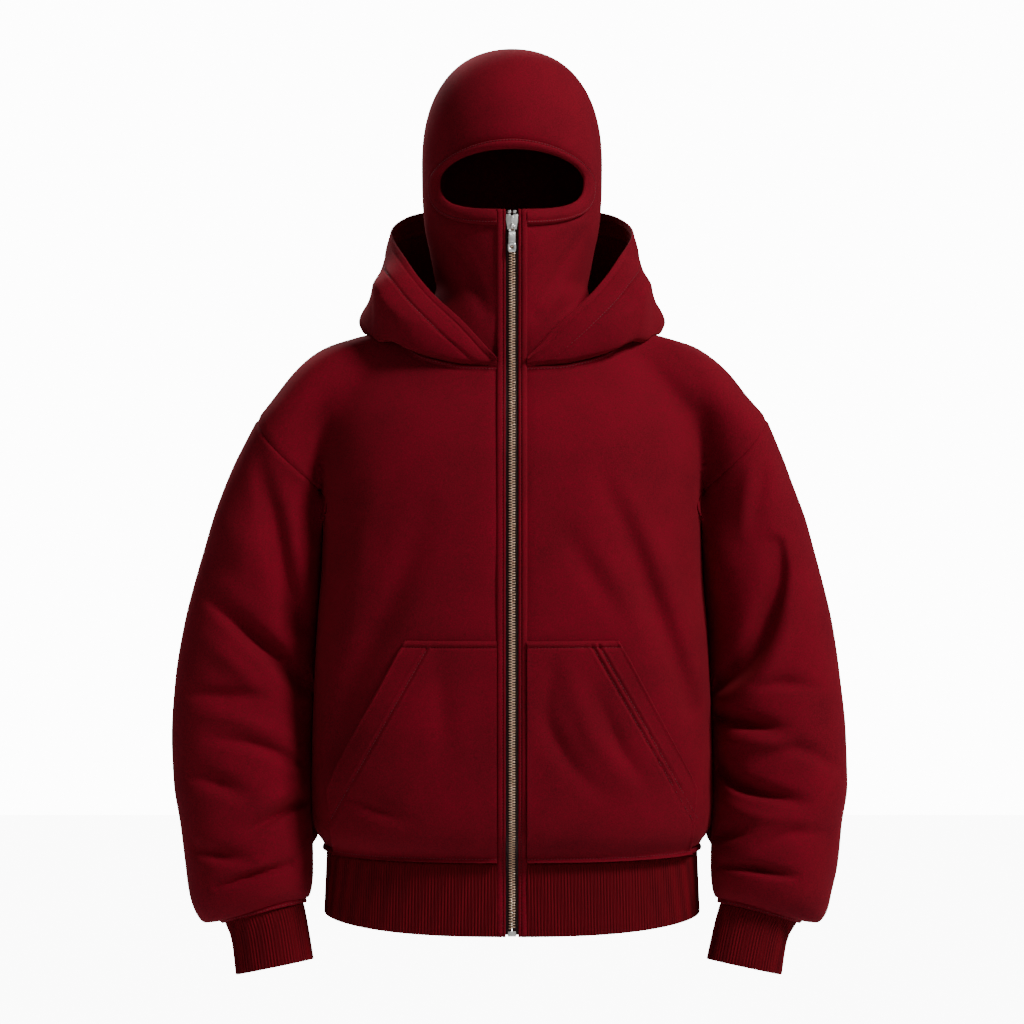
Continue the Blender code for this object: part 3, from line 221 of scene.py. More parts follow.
# Largest folds, as routes across the front or back view. start and end are the fold's depth
# there as shares of its greatest depth; sharp is the width below the route over that above.
Fold = namedtuple("Fold", "route depth width sharp start end")
BODY_FOLDS = {
    "front": [
        Fold([(-88, -203), (-125, -295), (-168, -384), (-188, -458)], 11, 17, 1, 0.2, 0.9),
        Fold([(-144, -167), (-162, -250), (-179, -333)], -4, 14, 1, 0.3, 0.4),
        Fold([(96, -167), (123, -226), (142, -281), (166, -340), (191, -408)], 10, 12, 1, 0.2, 1.0),
        Fold([(114, -175), (157, -255), (183, -317), (196, -374)], -5, 12, 1, 0.3, 0.6),
        Fold([(51, -214), (78, -260), (109, -302)], 4.5, 11, 1, 0.2, 0.3),
        Fold([(73, -208), (104, -265), (138, -333)], -2.5, 9, 1, 0.2, 0.3),
        Fold([(41, -366), (36, -408), (58, -458), (100, -499)], 6, 11, 1, 0.3, 0.2),
        Fold([(56, -362), (81, -431), (125, -488)], -3, 9, 1, 0.3, 0.3),
        Fold([(84, -379), (108, -438), (140, -488)], 5, 10, 1, 0.2, 0.2),
        Fold([(-76, -348), (-68, -457)], 3, 13, 1, 0.3, 0.3),
        Fold([(-174, -498), (-141, -510), (-107, -521)], 6, 9, 0.8, 0.4, 0.2),
    ],
    "back": [
        Fold([(-150, -150), (-95, -215), (-60, -300)], 7, 24, 1, 0.3, 0.1),
        Fold([(152, -160), (100, -222), (70, -290)], 7, 24, 1, 0.3, 0.1),
        Fold([(-170, -420), (-60, -465), (70, -470), (175, -430)], 7, 26, 0.8, 0.4, 0.4),
        Fold([(-150, -515), (-30, -535), (110, -522)], 6, 18, 0.8, 0.3, 0.3),
    ],
}


def smooth_curve(places, values, at):
    """Reads a curve through the points that never overshoots them, flat past its ends."""
    places, values = np.asarray(places, float), np.asarray(values, float)
    if places[0] > places[-1]:
        places, values = places[::-1], values[::-1]
    step = np.diff(places)
    slope = np.diff(values) / step
    tangent = np.zeros_like(values)
    tangent[0], tangent[-1] = slope[0], slope[-1]
    before, after = slope[:-1], slope[1:]
    same_way = before * after > 0
    weight_before, weight_after = 2 * step[1:] + step[:-1], step[1:] + 2 * step[:-1]
    safe_before, safe_after = np.where(same_way, before, 1), np.where(same_way, after, 1)
    mean = (weight_before + weight_after) / (weight_before / safe_before + weight_after / safe_after)
    tangent[1:-1] = np.where(same_way, mean, 0)
    at = np.clip(at, places[0], places[-1])
    i = np.clip(np.searchsorted(places, at, "right") - 1, 0, len(step) - 1)
    t = (at - places[i]) / step[i]
    return (
        (1 + 2 * t) * (1 - t) ** 2 * values[i]
        + t * (1 - t) ** 2 * step[i] * tangent[i]
        + t**2 * (3 - 2 * t) * values[i + 1]
        + t**2 * (t - 1) * step[i] * tangent[i + 1]
    )


def read(rows, name, at):
    """One named column of a table, read along the table's first column."""
    first = rows[0]._fields[0]
    return smooth_curve(
        [getattr(row, first) for row in rows], [getattr(row, name) for row in rows], at
    )


def ramp(value, start, end):
    """Goes softly from 0 to 1 while a value goes from start to end."""
    share = np.clip((value - start) / (end - start), 0, 1)
    return share * share * (3 - 2 * share)


def unit(vectors):
    """The same directions, one long."""
    return vectors / np.maximum(np.linalg.norm(vectors, axis=-1, keepdims=True), 1e-9)


def run_of(line):
    """The length along a line at each of its points."""
    return np.concatenate([[0], np.cumsum(np.linalg.norm(np.diff(line, axis=0), axis=1))])


def along(points, share):
    """Points at shares of the length of a smooth line through the given ones."""
    points = np.asarray(points, float)
    lengths = run_of(points)
    fine = np.linspace(0, lengths[-1], 400)
    line = np.stack([smooth_curve(lengths, points[:, i], fine) for i in range(points.shape[1])], 1)
    run = run_of(line)
    wanted = np.asarray(share) * run[-1]
    return np.stack([np.interp(wanted, run, line[:, i]) for i in range(points.shape[1])], -1)


def evenly(line, count, closed=False):
    """Points at even steps along a line; a closed one doesn't repeat its first point."""
    run = run_of(line)
    wanted = np.linspace(0, run[-1], count, endpoint=not closed)
    return np.stack([np.interp(wanted, run, line[:, i]) for i in range(line.shape[1])], 1)


def oval(share, power):
    """The height over a section's middle line, 1 at its middle and 0 at its edge."""
    return (1 - np.minimum(np.abs(share), 1) ** power) ** (1 / power)


def fold_depth(folds, x, z):
    """How far all the folds press in at a place in the front or back view."""
    total = np.zeros(np.broadcast(x, z).shape)
    for fold in folds:
        route = np.asarray(fold.route, float)
        fine = along(route, np.linspace(0, 1, 24)) if len(route) > 2 else route
        steps = np.diff(fine, axis=0)
        lengths = np.linalg.norm(steps, axis=1)
        nearest = np.full(total.shape, 1e9)
        place = np.zeros(total.shape)
        way = 1 if route[-1, 0] > route[0, 0] else -1
        for i, (start, step, length) in enumerate(zip(fine, steps, lengths)):
            t = np.clip(((x - start[0]) * step[0] + (z - start[1]) * step[1]) / length**2, 0, 1)
            dx, dz = x - start[0] - t * step[0], z - start[1] - t * step[1]
            distance = np.hypot(dx, dz)
            above = way * (step[0] * dz - step[1] * dx) / (length * np.maximum(distance, 1e-6))
            distance = distance * (1 + (1 / fold.sharp - 1) * ramp(above, 1, -1))
            closer = distance < nearest
            nearest = np.where(closer, distance, nearest)
            place = np.where(closer, (lengths[:i].sum() + t * length) / lengths.sum(), place)
        fade = np.interp(place, [0, 0.5, 1], [fold.start, 1, fold.end])
        total += fold.depth * fade * np.exp(-((nearest / fold.width) ** 2))
    return total


def slack(x, z):
    """Shallow unevenness of heavy cloth, a millimetre or so."""
    return (
        0.7 * np.sin(x / 31 + 1.3 * np.sin(z / 67)) * np.sin(z / 43 + 0.8)
        + 0.45 * np.sin(x / 17 - z / 23 + 2.1) * np.sin(z / 58 + x / 90)
    )


def torso_depth(x, z, face):
    """Half depth of the torso alone, in front or behind."""
    share = np.abs(x) / read(TORSO, "half_width", z)
    return read(TORSO, face, z) * oval(share, read(TORSO, "power", z))


def arm_depth(side, x, z):
    """Half depth of the shoulder and upper arm alone."""
    outer, inner = read(SHOULDERS, side + "_edge", z), read(SHOULDERS, "inner", z)
    share = (np.abs(x) - (outer + inner) / 2) / ((outer - inner) / 2)
    return read(SHOULDERS, "depth", z) * oval(share, SLEEVE_POWER)


def body_depth(side, x, z, face):
    """Half depth of the torso and upper arm as one form, with their hollow between them."""
    torso, arm = torso_depth(x, z, face), arm_depth(side, x, z)
    hollow = (read(SHOULDERS, "inner", z) + read(TORSO, "half_width", z)) / 2
    web = read(SHOULDERS, "web", z) * oval((np.abs(x) - hollow) / WEB_HALF_WIDTH, 2)
    return (torso**4 + arm**4 + web**4) ** 0.25


def round_steps(count):
    """Shares across a tube's front, from its outer edge (0) to its inner edge (1)."""
    turn = np.cos(pi * np.arange(count + 1) / count)
    return (1 - np.sign(turn) * np.abs(turn) ** (2 / SLEEVE_POWER)) / 2


def armhole(share):
    """The armhole seam in the front view, from the shoulder's edge (0) to under the arm (1)."""
    top = SLEEVES[0]
    x = top.right_outer + (top.inner - top.right_outer) * share
    z = top.outer_height + (top.inner_height - top.outer_height) * share
    return x - ARMHOLE_BEND * 4 * share**3 * (1 - share), z


def neck_corners(face):
    """Points along the left of the neck seam, from the centre to the shoulder."""
    seam = NECK_SEAM_FRONT if face == "front" else NECK_SEAM_BACK
    x, z = along(seam, np.linspace(0, 1, 200)).T
    y = body_depth("left", x, z, face)
    return evenly(np.stack([x, -y if face == "front" else y, z], 1), NECK_STEPS + 1)


def panel_grid(side, face, side_rows):
    """A front or half back in the front view: rows from neck and shoulder to hem."""
    centre = PANEL_EDGE if face == "front" else 0.0
    top_neck = neck_corners(face)[:, [0, 2]]
    ridge = [(read(SHOULDERS, side + "_edge", z), z) for z in np.linspace(4, -99, 40)]
    top_ridge = along(ridge, np.linspace(0, 1, SHOULDER_STEPS + 1))
    top_x, top_z = np.concatenate([top_neck, top_ridge[1:]]).T
    arm_x, arm_z = armhole(round_steps(ARMHOLE_STEPS))
    under = SLEEVES[0].inner_height
    over_arm_end = np.interp(arm_x, top_x, top_z)
    fall = (over_arm_end - arm_z) / (over_arm_end - under)
    fall[0], fall[-1] = 0, 1
    spread_top = (top_x - centre) / (top_x[-1] - centre)
    spread_low = np.sin(np.linspace(0, 1, len(top_x)) * pi / 2) ** 0.92
    rows_x, rows_z = [], []
    for i, (end_x, share) in enumerate(zip(arm_x, fall)):
        spread = spread_top + (spread_low - spread_top) * ramp(i, 0, ARMHOLE_STEPS)
        x = centre + (end_x - centre) * spread
        over = np.interp(x, top_x, top_z)
        rows_x.append(x)
        rows_z.append(over + (under - over) * share)
    for z in side_rows:
        end_x = read(TORSO, "half_width", z)
        rows_x.append(centre + (end_x - centre) * spread_low)
        rows_z.append(np.full(len(top_x), float(z)))
    return SIDES[side] * np.array(rows_x), np.array(rows_z)


def on_body(side, face, x, z):
    """Points of the body's cloth at places in the front or back view."""
    depth = body_depth(side, x, z, face)
    folds = fold_depth(BODY_FOLDS[face], x, z) + slack(x, z)
    folds = folds * ramp(depth, 0, FOLD_FADE) * ramp(z, HEM_SEAM, HEM_SEAM + HEM_FADE)
    depth = depth - folds + SEAM_GAP / 2
    y = -depth if face == "front" else depth
    return np.stack([x, y, z], -1)


def panel(side, face, side_rows):
    """A panel's points; front and back meet at the middle plane at shoulder and side seams."""
    points = on_body(side, face, *panel_grid(side, face, side_rows))
    middle = -SEAM_GAP / 2 if face == "front" else SEAM_GAP / 2
    points[0, NECK_STEPS:, 1] = middle
    points[ARMHOLE_STEPS:, -1, 1] = middle
    return points


def surface_normals(points, around=False):
    """Normals of a grid of points that face away from its middle."""
    if around:
        across = np.roll(points, -1, 1) - np.roll(points, 1, 1)
    else:
        across = np.gradient(points, axis=1)
    down = np.gradient(points, axis=0)
    normals = unit(np.cross(across, down))
    middle = points.mean(axis=1, keepdims=True)
    facing = (normals * (points - middle)).sum(-1).mean()
    return normals if facing > 0 else -normals


class Wire:
    """A material's socket that takes part in sums; make() adds any other kind of node."""

    def __init__(self, tree, socket=None):
        self.tree = tree
        self.socket = socket

    def make(self, kind, settings=None, values=None, outlet=0):
        """Adds a node, with its settings first and then its sockets' values or links."""
        node = self.tree.nodes.new(kind)
        for name, value in (settings or {}).items():
            setattr(node, name, value)
        for name, value in (values or {}).items():
            if isinstance(value, Wire):
                self.tree.links.new(value.socket, node.inputs[name])
            else:
                node.inputs[name].default_value = value
        return Wire(self.tree, node.outputs[outlet])

    def math(self, operation, first, second=0.0):
        return self.make("ShaderNodeMath", {"operation": operation}, {0: first, 1: second})

    def __add__(self, other):
        return self.math("ADD", self, other)

    def __radd__(self, other):
        return self.math("ADD", other, self)

    def __sub__(self, other):
        return self.math("SUBTRACT", self, other)

    def __mul__(self, other):
        return self.math("MULTIPLY", self, other)

    def __pow__(self, other):
        return self.math("POWER", self, other)

    def sine(self):
        return self.math("SINE", self)

    def size(self):
        return self.math("ABSOLUTE", self)

    def rest(self):
        return self.math("FRACT", self)

    def limit(self):
        return self.make("ShaderNodeClamp", None, {"Value": self})

    def part(self, axis):
        """The X, Y or Z of a place."""
        return self.make("ShaderNodeSeparateXYZ", None, {0: self}, outlet=axis)

    def noise(self, scale, detail=2.0):
        """Soft noise over a place."""
        return self.make("ShaderNodeTexNoise", None, {"Vector": self, "Scale": scale, "Detail": detail})

    def bump(self, strength, distance):
        """A relief of this height."""
        values = {"Strength": strength, "Distance": distance, "Height": self}
        return self.make("ShaderNodeBump", None, values)

    def between(self, low, high):
        """A colour between two, by this share."""
        return self.make(
            "ShaderNodeMix", {"data_type": "RGBA"}, {0: self, 6: low, 7: high}, outlet=2
        )


def colour(red, green, blue):
    """An sRGB colour, 0 to 255, as a shader takes it."""
    linear = []
    for level in (red, green, blue):
        level = level / 255
        linear.append(((level + 0.055) / 1.055) ** 2.4 if level > 0.04 else level / 12.92)
    return (*linear, 1)


def new_material(name):
    """A material with nothing in it, and a Wire to build it with."""
    made = bpy.data.materials.new(name)
    made.use_nodes = True
    made.node_tree.nodes.clear()
    return made, Wire(made.node_tree)


def surface(made, wire, values):
    """Gives a material its surface."""
    shader = wire.make("ShaderNodeBsdfPrincipled", None, values)
    output = made.node_tree.nodes.new("ShaderNodeOutputMaterial")
    made.node_tree.links.new(shader.socket, output.inputs["Surface"])
    return made


KNIT_WALE = 1.15
KNIT_COURSE = 0.9
NAP_SHEEN = {
    "Sheen Weight": 0.3,
    "Sheen Roughness": 0.45,
    "Sheen Tint": colour(190, 52, 62),
    "Specular IOR Level": 0.12,
}


def fleece_material(name, dark, light):
    """Brushed knit cloth: small V stitches in rows with shade painted into the channels between them, a
    fine nap and a slightly uneven dye.
    """
    made, wire = new_material(name)
    place = wire.make("ShaderNodeUVMap", {"uv_map": "cloth"})
    across = place.part("X") * (1 / KNIT_WALE / MM)
    down = place.part("Y") * (1 / KNIT_COURSE / MM)
    arm = (across.rest() - 0.5).size()
    channel = (arm * (2 * pi)).sine().size() ** 0.6
    loops = ((down + arm * 1.3) * (2 * pi)).sine() * 0.5 + 0.5
    knit = channel * (loops * 0.6 + 0.4)
    body = wire.make("ShaderNodeTexCoord", outlet="Object")
    nap, cloud = body.noise(760.0, 3.0), body.noise(17.0)
    # Painted shade: the knit's height makes the stitches lighter and the channels between them darker
    tone = (nap * 1.1 + knit * 0.25 + cloud * 0.35 - 0.35).limit()
    values = {
        "Base Color": tone.between(dark, light),
        "Roughness": 0.86 + nap * 0.12,
        "Normal": (knit * 0.45 + nap * 0.9).bump(0.55, 0.00012),
    }
    return surface(made, wire, {**values, **NAP_SHEEN})


fleece = fleece_material("burgundy_fleece", colour(52, 1, 10), colour(142, 13, 36))


def lay_grid(points, around):
    """A grid laid over rows of points in millimetres, with its cloth coordinates in metres."""
    points = np.concatenate([points, points[:, :1]], 1) if around else points
    rows, columns = points.shape[:2]
    bm = bmesh.new()
    made = bmesh.ops.create_grid(bm, x_segments=columns - 1, y_segments=rows - 1, size=1)
    places = {}
    for vert in made["verts"]:
        i = round((vert.co.y + 1) / 2 * (rows - 1))
        j = round((vert.co.x + 1) / 2 * (columns - 1))
        places[vert] = (i, j)
    across = np.linalg.norm(np.diff(points, axis=1), axis=2)
    down = np.linalg.norm(np.diff(points, axis=0), axis=2)
    u = np.concatenate([np.zeros((rows, 1)), np.cumsum(across, 1)], 1)
    u = u - u[:, columns // 2 : columns // 2 + 1]
    v = np.concatenate([np.zeros((1, columns)), np.cumsum(down, 0)], 0)
    layer = bm.loops.layers.uv.new("cloth")
    for face in bm.faces:
        for loop in face.loops:
            i, j = places[loop.vert]
            loop[layer].uv = (u[i, j] * MM, v[i, j] * MM)
    for vert, (i, j) in places.items():
        vert.co = points[i, j] * MM
    return bm


def close_up(bm, outward):
    """Joins what meets and turns the faces outwards, which a point's outward direction tells."""
    bmesh.ops.remove_doubles(bm, verts=bm.verts, dist=1e-6)
    bmesh.ops.recalc_face_normals(bm, faces=bm.faces)
    if sum(face.normal.dot(outward(face.calc_center_median())) for face in bm.faces) < 0:
        bmesh.ops.reverse_faces(bm, faces=bm.faces)


def show(name, bm, material, body="root"):
    """Makes a bmesh an object that rides on a body."""
    mesh = bpy.data.meshes.new(name)
    bm.to_mesh(mesh)
    bm.free()
    mesh.shade_smooth()
    mesh.materials.append(material)
    made = bpy.data.objects.new(name, mesh)
    bpy.context.collection.objects.link(made)
    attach(made, body)
    return made


def thicken(piece, thickness):
    """Gives a sheet its wall, on the inside."""
    wall = piece.modifiers.new("wall", "SOLIDIFY")
    wall.thickness = thickness * MM
    wall.offset = -1


CUT_EDGE_ANGLE = 65  # only a wall's cut edge turns more sharply than this
CUT_EDGE_WIDTH = 0.9


def round_cut_edge(piece):
    """Rounds off the wall where the cloth is cut."""
    edge = piece.modifiers.new("edge", "BEVEL")
    edge.limit_method = "ANGLE"
    edge.angle_limit = radians(CUT_EDGE_ANGLE)
    edge.width = CUT_EDGE_WIDTH * MM
    edge.segments = 3


def cloth(name, points, node, outward, around=False, thickness=FLEECE):
    """One sewn piece: a sheet over the points, its wall, its CAD node and its cut."""
    bm = lay_grid(points, around)
    close_up(bm, outward)
    area = sum(face.calc_area() for face in bm.faces)
    piece = show(name, bm, fleece)
    thicken(piece, thickness)
    round_cut_edge(piece)
    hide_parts(node)


def away_from(x, y, z=None):
    """A function that points outwards, level with a place or, given z, from one middle point."""

    def outward(place):
        return Vector((place.x - x, place.y - y, 0 if z is None else place.z - z))

    return outward


from_the_spine = away_from(0, 0)

HEM_DEPTH, HEM_PROUD, HEM_DIP = 2.8, 3.0, 2.6
HEM_STITCH = -562.3  # where the seam allowance above the hem rib is stitched down
ROWS_END = -557.0  # here the rows draw closer together, for the seam's ridge and dip
hem_rows = [-558.5, -560.4, -561.4, HEM_STITCH, -563.2, -564.4, -565.6, -566.7, -567.4, HEM_SEAM]
front_rows = list(np.arange(-214.5, ROWS_END, -4.6)) + hem_rows


def from_edge(points, edge):
    """How far each point lies from an edge of its grid: top, bottom, first or last column."""
    if edge in ("first", "last"):
        return from_edge(points.swapaxes(0, 1), {"first": "top", "last": "bottom"}[edge]).T
    steps = np.linalg.norm(np.diff(points, axis=0), axis=2)
    start = np.zeros((1, points.shape[1]))
    if edge == "top":
        return np.concatenate([start, np.cumsum(steps, 0)])
    return np.concatenate([np.cumsum(steps[::-1], 0)[::-1], start])


def groove(distance, depth, width):
    """A soft groove with its middle at distance 0."""
    return depth * np.exp(-((distance / width) ** 2))


def rolled_in(distance, depth=1.2, width=1.6):
    """How far cloth dips towards a seam, with a faint swell beside it."""
    return groove(distance, depth, width) - groove(distance - 2.6 * width, 0.45, 1.6 * width)


def stitched_down(distance, stitch=5.7, depth=1.7, width=1.1, proud=1.1, dip=1.7):
    """The dip at a seam, the ridge of its allowance and the groove of its stitches."""
    ridge = groove(distance - stitch / 2, proud, 0.3 * stitch)
    return groove(distance, dip, 0.9) + groove(distance - stitch, depth, width) - ridge


STITCH_PITCH = 3.4
STITCH_SIZE = (0.42, 0.42, 1.25)
STITCH_SINK = 0.1
STITCH_AIM = 0.6  # a stitch points from this far behind its middle to this far ahead
stitch_bm = bmesh.new()
bmesh.ops.create_uvsphere(stitch_bm, u_segments=6, v_segments=4, radius=1)
bmesh.ops.scale(stitch_bm, vec=STITCH_SIZE, verts=stitch_bm.verts)
one_stitch = bpy.data.meshes.new("one_stitch")
stitch_bm.to_mesh(one_stitch)
stitch_bm.free()


def thread_material():
    """Twisted polyester thread, a little shinier than the cloth."""
    made, wire = new_material("burgundy_thread")
    twist = wire.make("ShaderNodeTexCoord", outlet="Object").noise(1500.0)
    values = {
        "Base Color": twist.between(colour(70, 6, 15), colour(124, 20, 34)),
        "Roughness": 0.5 + twist * 0.2,
        "Normal": twist.bump(0.4, 0.00005),
    }
    return surface(made, wire, values)


thread = thread_material()


def point_at(place, run, line):
    """The point of a line, or the direction kept for it, at a distance along it."""
    return np.array([np.interp(place, run, line[:, i]) for i in range(3)])


def sew(name, lines):
    """Rows of single stitches along lines, each given with its normals, as one piece."""
    bm = bmesh.new()
    for line, normals in lines:
        run = run_of(line)
        count = max(2, int(run[-1] / STITCH_PITCH))
        for place in (np.arange(count) + 0.5) * run[-1] / count:
            up = unit(point_at(place, run, normals))
            behind, ahead = (point_at(place + step, run, line) for step in (-STITCH_AIM, STITCH_AIM))
            tangent = unit(ahead - behind)
            turn = Matrix(np.stack([np.cross(up, tangent), up, tangent], 1).tolist()).to_4x4()
            turn.translation = (point_at(place, run, line) - STITCH_SINK * up).tolist()
            first = len(bm.verts)
            bm.from_mesh(one_stitch)
            bm.verts.ensure_lookup_table()
            bmesh.ops.transform(bm, matrix=turn, verts=bm.verts[first:])
    bmesh.ops.scale(bm, vec=(MM, MM, MM), verts=bm.verts)
    return show(name, bm, thread)


def pressed(points, press, normals):
    """Points pressed in along their normals."""
    return points - press[..., None] * normals


def hem_press(points):
    """How the cloth dips at the hem seam and stands up over the allowance above it."""
    above_seam = points[..., 2] - HEM_SEAM
    return stitched_down(above_seam, depth=HEM_DEPTH, proud=HEM_PROUD, dip=HEM_DIP)


def line_at(distance, run, points):
    """The line across a grid on which each column has run a given distance."""
    return np.array(
        [
            [np.interp(distance, run[:, j], points[:, j, i]) for i in range(3)]
            for j in range(points.shape[1])
        ]
    )


NECK_STITCH = 5.6  # how far the neck seam's allowance is stitched down from the seam
NECK_STITCH_ROW, NECK_ROWS = 4, 12  # the row those stitches follow, and the rows searched for it
hem_sewing = {}
neck_sewing = {}
for side in SIDES:
    points = panel(side, "front", front_rows)
    normals = surface_normals(points)
    press = hem_press(points) + rolled_in(from_edge(points, "first"), 0.8)
    neck = from_edge(points[:ARMHOLE_STEPS], "top")
    share_of_neck = np.clip((NECK_STEPS + 1 - np.arange(points.shape[1])) / 2, 0, 1)
    press[:ARMHOLE_STEPS] += stitched_down(neck, NECK_STITCH, 1.5, 1.3, 1.7) * share_of_neck
    press[:ARMHOLE_STEPS] += rolled_in(neck, 1.0, 1.8) * (1 - share_of_neck)
    over_arm = from_edge(points, "last")[:ARMHOLE_STEPS]
    press[:ARMHOLE_STEPS] += rolled_in(over_arm, 1.0, 2.4)
    points = pressed(points, press, normals)
    cloth(side + "_front_panel", points, "front_" + side, from_the_spine)
    row = np.argmin(np.abs(points[:, 3, 2] - HEM_STITCH))
    hem_sewing[side] = (points[row], normals[row])
    near_neck = points[:NECK_ROWS, :NECK_STEPS]
    line = line_at(NECK_STITCH, from_edge(near_neck, "top"), near_neck)
    neck_sewing[side] = (line, normals[NECK_STITCH_ROW, :NECK_STEPS])

back_rows = list(np.arange(-215, ROWS_END, -5)) + hem_rows
left_back, right_back = (panel(side, "back", back_rows) for side in SIDES)
points = np.concatenate([right_back[:, :0:-1], left_back], axis=1)
normals = surface_normals(points)
press = hem_press(points)
for armhole_edge in ("first", "last"):
    over_arm = from_edge(points, armhole_edge)[:ARMHOLE_STEPS]
    press[:ARMHOLE_STEPS] += rolled_in(over_arm, 1.0, 2.4)
points = pressed(points, press, normals)
cloth("back_panel", points, "back", from_the_spine)
row = np.argmin(np.abs(points[:, 3, 2] - HEM_STITCH))
sew("hem_stitches_back", [(points[row], normals[row])])
sew("neck_stitches", list(neck_sewing.values()))

# ================================================================ sleeves
# Each sleeve is one fleece tube set into the dropped armhole. Its folds are the creases that
# the filled arm throws from the body to the elbow and above the cuff.

UNION_SHARE = 0.28  # the part of the sleeve that still follows the shoulder's form
UNION_ROUND = 45.0  # how softly the sleeve's own form rounds into the shoulder's
UNDER_ARM_END, ALONG_SIDE = 0.3, 0.42  # between these shares its hollow gives way to its side
BODY_GAP = 1.5  # how far the sleeves and hood stand clear of the body
UNDER_ARM_ROUNDS = 70  # how often the cloth under the arm is evened out
SLEEVE_COLUMNS = 136
SIDE_DEPTH, SIDE_POWER = 148, 2.6  # the torso's side, where the sleeve lies against it
CUFF_STITCH = 5.7  # how far the sleeve's end is stitched down from the cuff's seam
CUFF_STITCH_ROW = -8  # the row of the sleeve beside those stitches

SLEEVE_FOLDS = {
    ("right", "front"): [
        Fold(
            [(-267, -118), (-262, -167), (-254, -215), (-243, -270), (-230, -323)],
            12.0, 12, 1, 0.5, 1.1,
        ),
        Fold([(-241, -155), (-229, -219), (-221, -283)], -4.8, 12, 1, 0.3, 0.6),
        Fold(
            [(-327, -294), (-299, -318), (-273, -343), (-248, -367), (-227, -392)],
            20.4, 14, 0.5, 0.15, 1.3,
        ),
        Fold([(-327, -339), (-295, -366), (-266, -394)], -6.0, 12, 1, 0.3, 0.5),
        Fold([(-345, -398), (-306, -401), (-268, -401)], 8.4, 9, 0.8, 0.3, 0.3),
        Fold([(-338, -420), (-295, -426), (-245, -441)], -4.8, 9, 1, 0.3, 0.5),
        Fold([(-320, -448), (-283, -452), (-231, -473)], 8.4, 8, 0.8, 0.2, 1.2),
        Fold([(-339, -487), (-309, -497), (-283, -509)], 9.6, 11, 0.8, 0.4, 0.3),
        Fold([(-219, -495), (-252, -512), (-286, -532)], -6.0, 8, 1, 1.0, 0.2),
        Fold([(-219, -514), (-249, -530), (-280, -550)], 13.2, 7, 0.5, 1.2, 0.1),
        Fold([(-335, -567), (-309, -573), (-281, -576)], 10.8, 9, 0.7, 0.4, 0.3),
        Fold([(-313, -606), (-277, -595), (-236, -582)], 10.8, 5, 0.7, 0.3, 0.5),
        Fold([(-219, -353), (-222, -422), (-219, -486)], 14.4, 13, 1, 0.5, 0.4),
    ],
    ("left", "front"): [
        Fold([(249, -126), (247, -187), (245, -225)], -4.8, 8, 1, 0.3, 0.3),
        Fold([(269, -121), (262, -204)], 6.0, 9, 1, 0.3, 0.3),
        Fold(
            [(284, -236), (288, -264), (279, -307), (268, -342), (249, -372), (210, -404)],
            21.6, 15, 0.4, 0.3, 1.4,
        ),
        Fold([(302, -283), (290, -337), (261, -384), (218, -418)], -6.0, 10, 1, 0.2, 0.8),
        Fold([(260, -391), (292, -388), (324, -391)], 6.0, 8, 0.8, 0.3, 0.3),
        Fold([(210, -422), (244, -431), (288, -438)], 21.6, 9, 0.6, 1.4, 0.1),
        Fold([(216, -454), (249, -450), (292, -454)], -6.0, 8, 1, 0.8, 0.3),
        Fold([(250, -481), (298, -458), (353, -482)], 6.0, 9, 0.8, 0.4, 0.4),
        Fold([(213, -467), (245, -500), (309, -517)], 20.4, 9, 0.6, 1.4, 0.15),
        Fold([(218, -514), (260, -531), (311, -535)], -4.8, 8, 1, 0.8, 0.3),
        Fold([(208, -557), (227, -553), (249, -547)], 20.4, 10, 0.45, 1.4, 0.1),
        Fold([(263, -562), (308, -548), (338, -550)], 6.0, 9, 0.8, 0.3, 0.3),
        Fold([(225, -583), (261, -588), (300, -596)], 13.2, 6, 0.7, 0.6, 0.2),
    ],
    ("right", "back"): [
        Fold([(-300, -262), (-262, -318), (-226, -352)], 11, 18, 0.8, 0.2, 1.1),
        Fold([(-335, -398), (-280, -425), (-224, -430)], 9, 16, 0.7, 0.1, 1.1),
        Fold([(-330, -500), (-275, -512), (-224, -500)], 9, 16, 0.8, 0.2, 1.0),
        Fold([(-325, -575), (-262, -583), (-222, -568)], 8, 13, 0.7, 0.2, 1.0),
    ],
    ("left", "back"): [
        Fold([(305, -250), (268, -300), (226, -330)], 10, 18, 0.8, 0.2, 1.1),
        Fold([(338, -372), (285, -402), (224, -410)], 10, 16, 0.7, 0.1, 1.1),
        Fold([(345, -470), (285, -482), (224, -470)], 8, 16, 0.8, 0.2, 1.0),
        Fold([(330, -556), (275, -568), (222, -548)], 9, 13, 0.7, 0.2, 1.0),
    ],
}


def clear_of_torso(points, gap):
    """Moves a sleeve's points out sideways until they stand clear of the torso's side."""
    x, y, z = points[..., 0], points[..., 1], points[..., 2]
    depth = np.where(y < 0, read(TORSO, "front", z), read(TORSO, "back", z))
    torso_side = read(TORSO, "half_width", z) * oval(y / depth, read(TORSO, "power", z))
    return np.stack([np.sign(x) * np.maximum(np.abs(x), torso_side + gap), y, z], -1)


def soft_maximum(first, second, soften):
    """The larger of two depths, rounded off where they cross."""
    crossing = np.maximum(soften - np.abs(first - second), 0)
    return np.maximum(first, second) + crossing**2 / (4 * soften)


def lie_against(points, sign, share, across, gap):
    """Draws the inner side of a sleeve in until it lies against the torso's side."""
    x, y, z = points[..., 0], points[..., 1], points[..., 2]
    beside = read(TORSO, "half_width", z) * oval(y / SIDE_DEPTH, SIDE_POWER) + gap
    against = ramp(y, -22, -8) * ramp(y, 42, 20) * ramp(z, HEM_SEAM + 2, HEM_SEAM + 18)
    against = against * ramp(share, UNDER_ARM_END, ALONG_SIDE) * (across > 0.5)
    points[..., 0] = sign * (np.abs(x) - against * np.maximum(np.abs(x) - beside, 0))


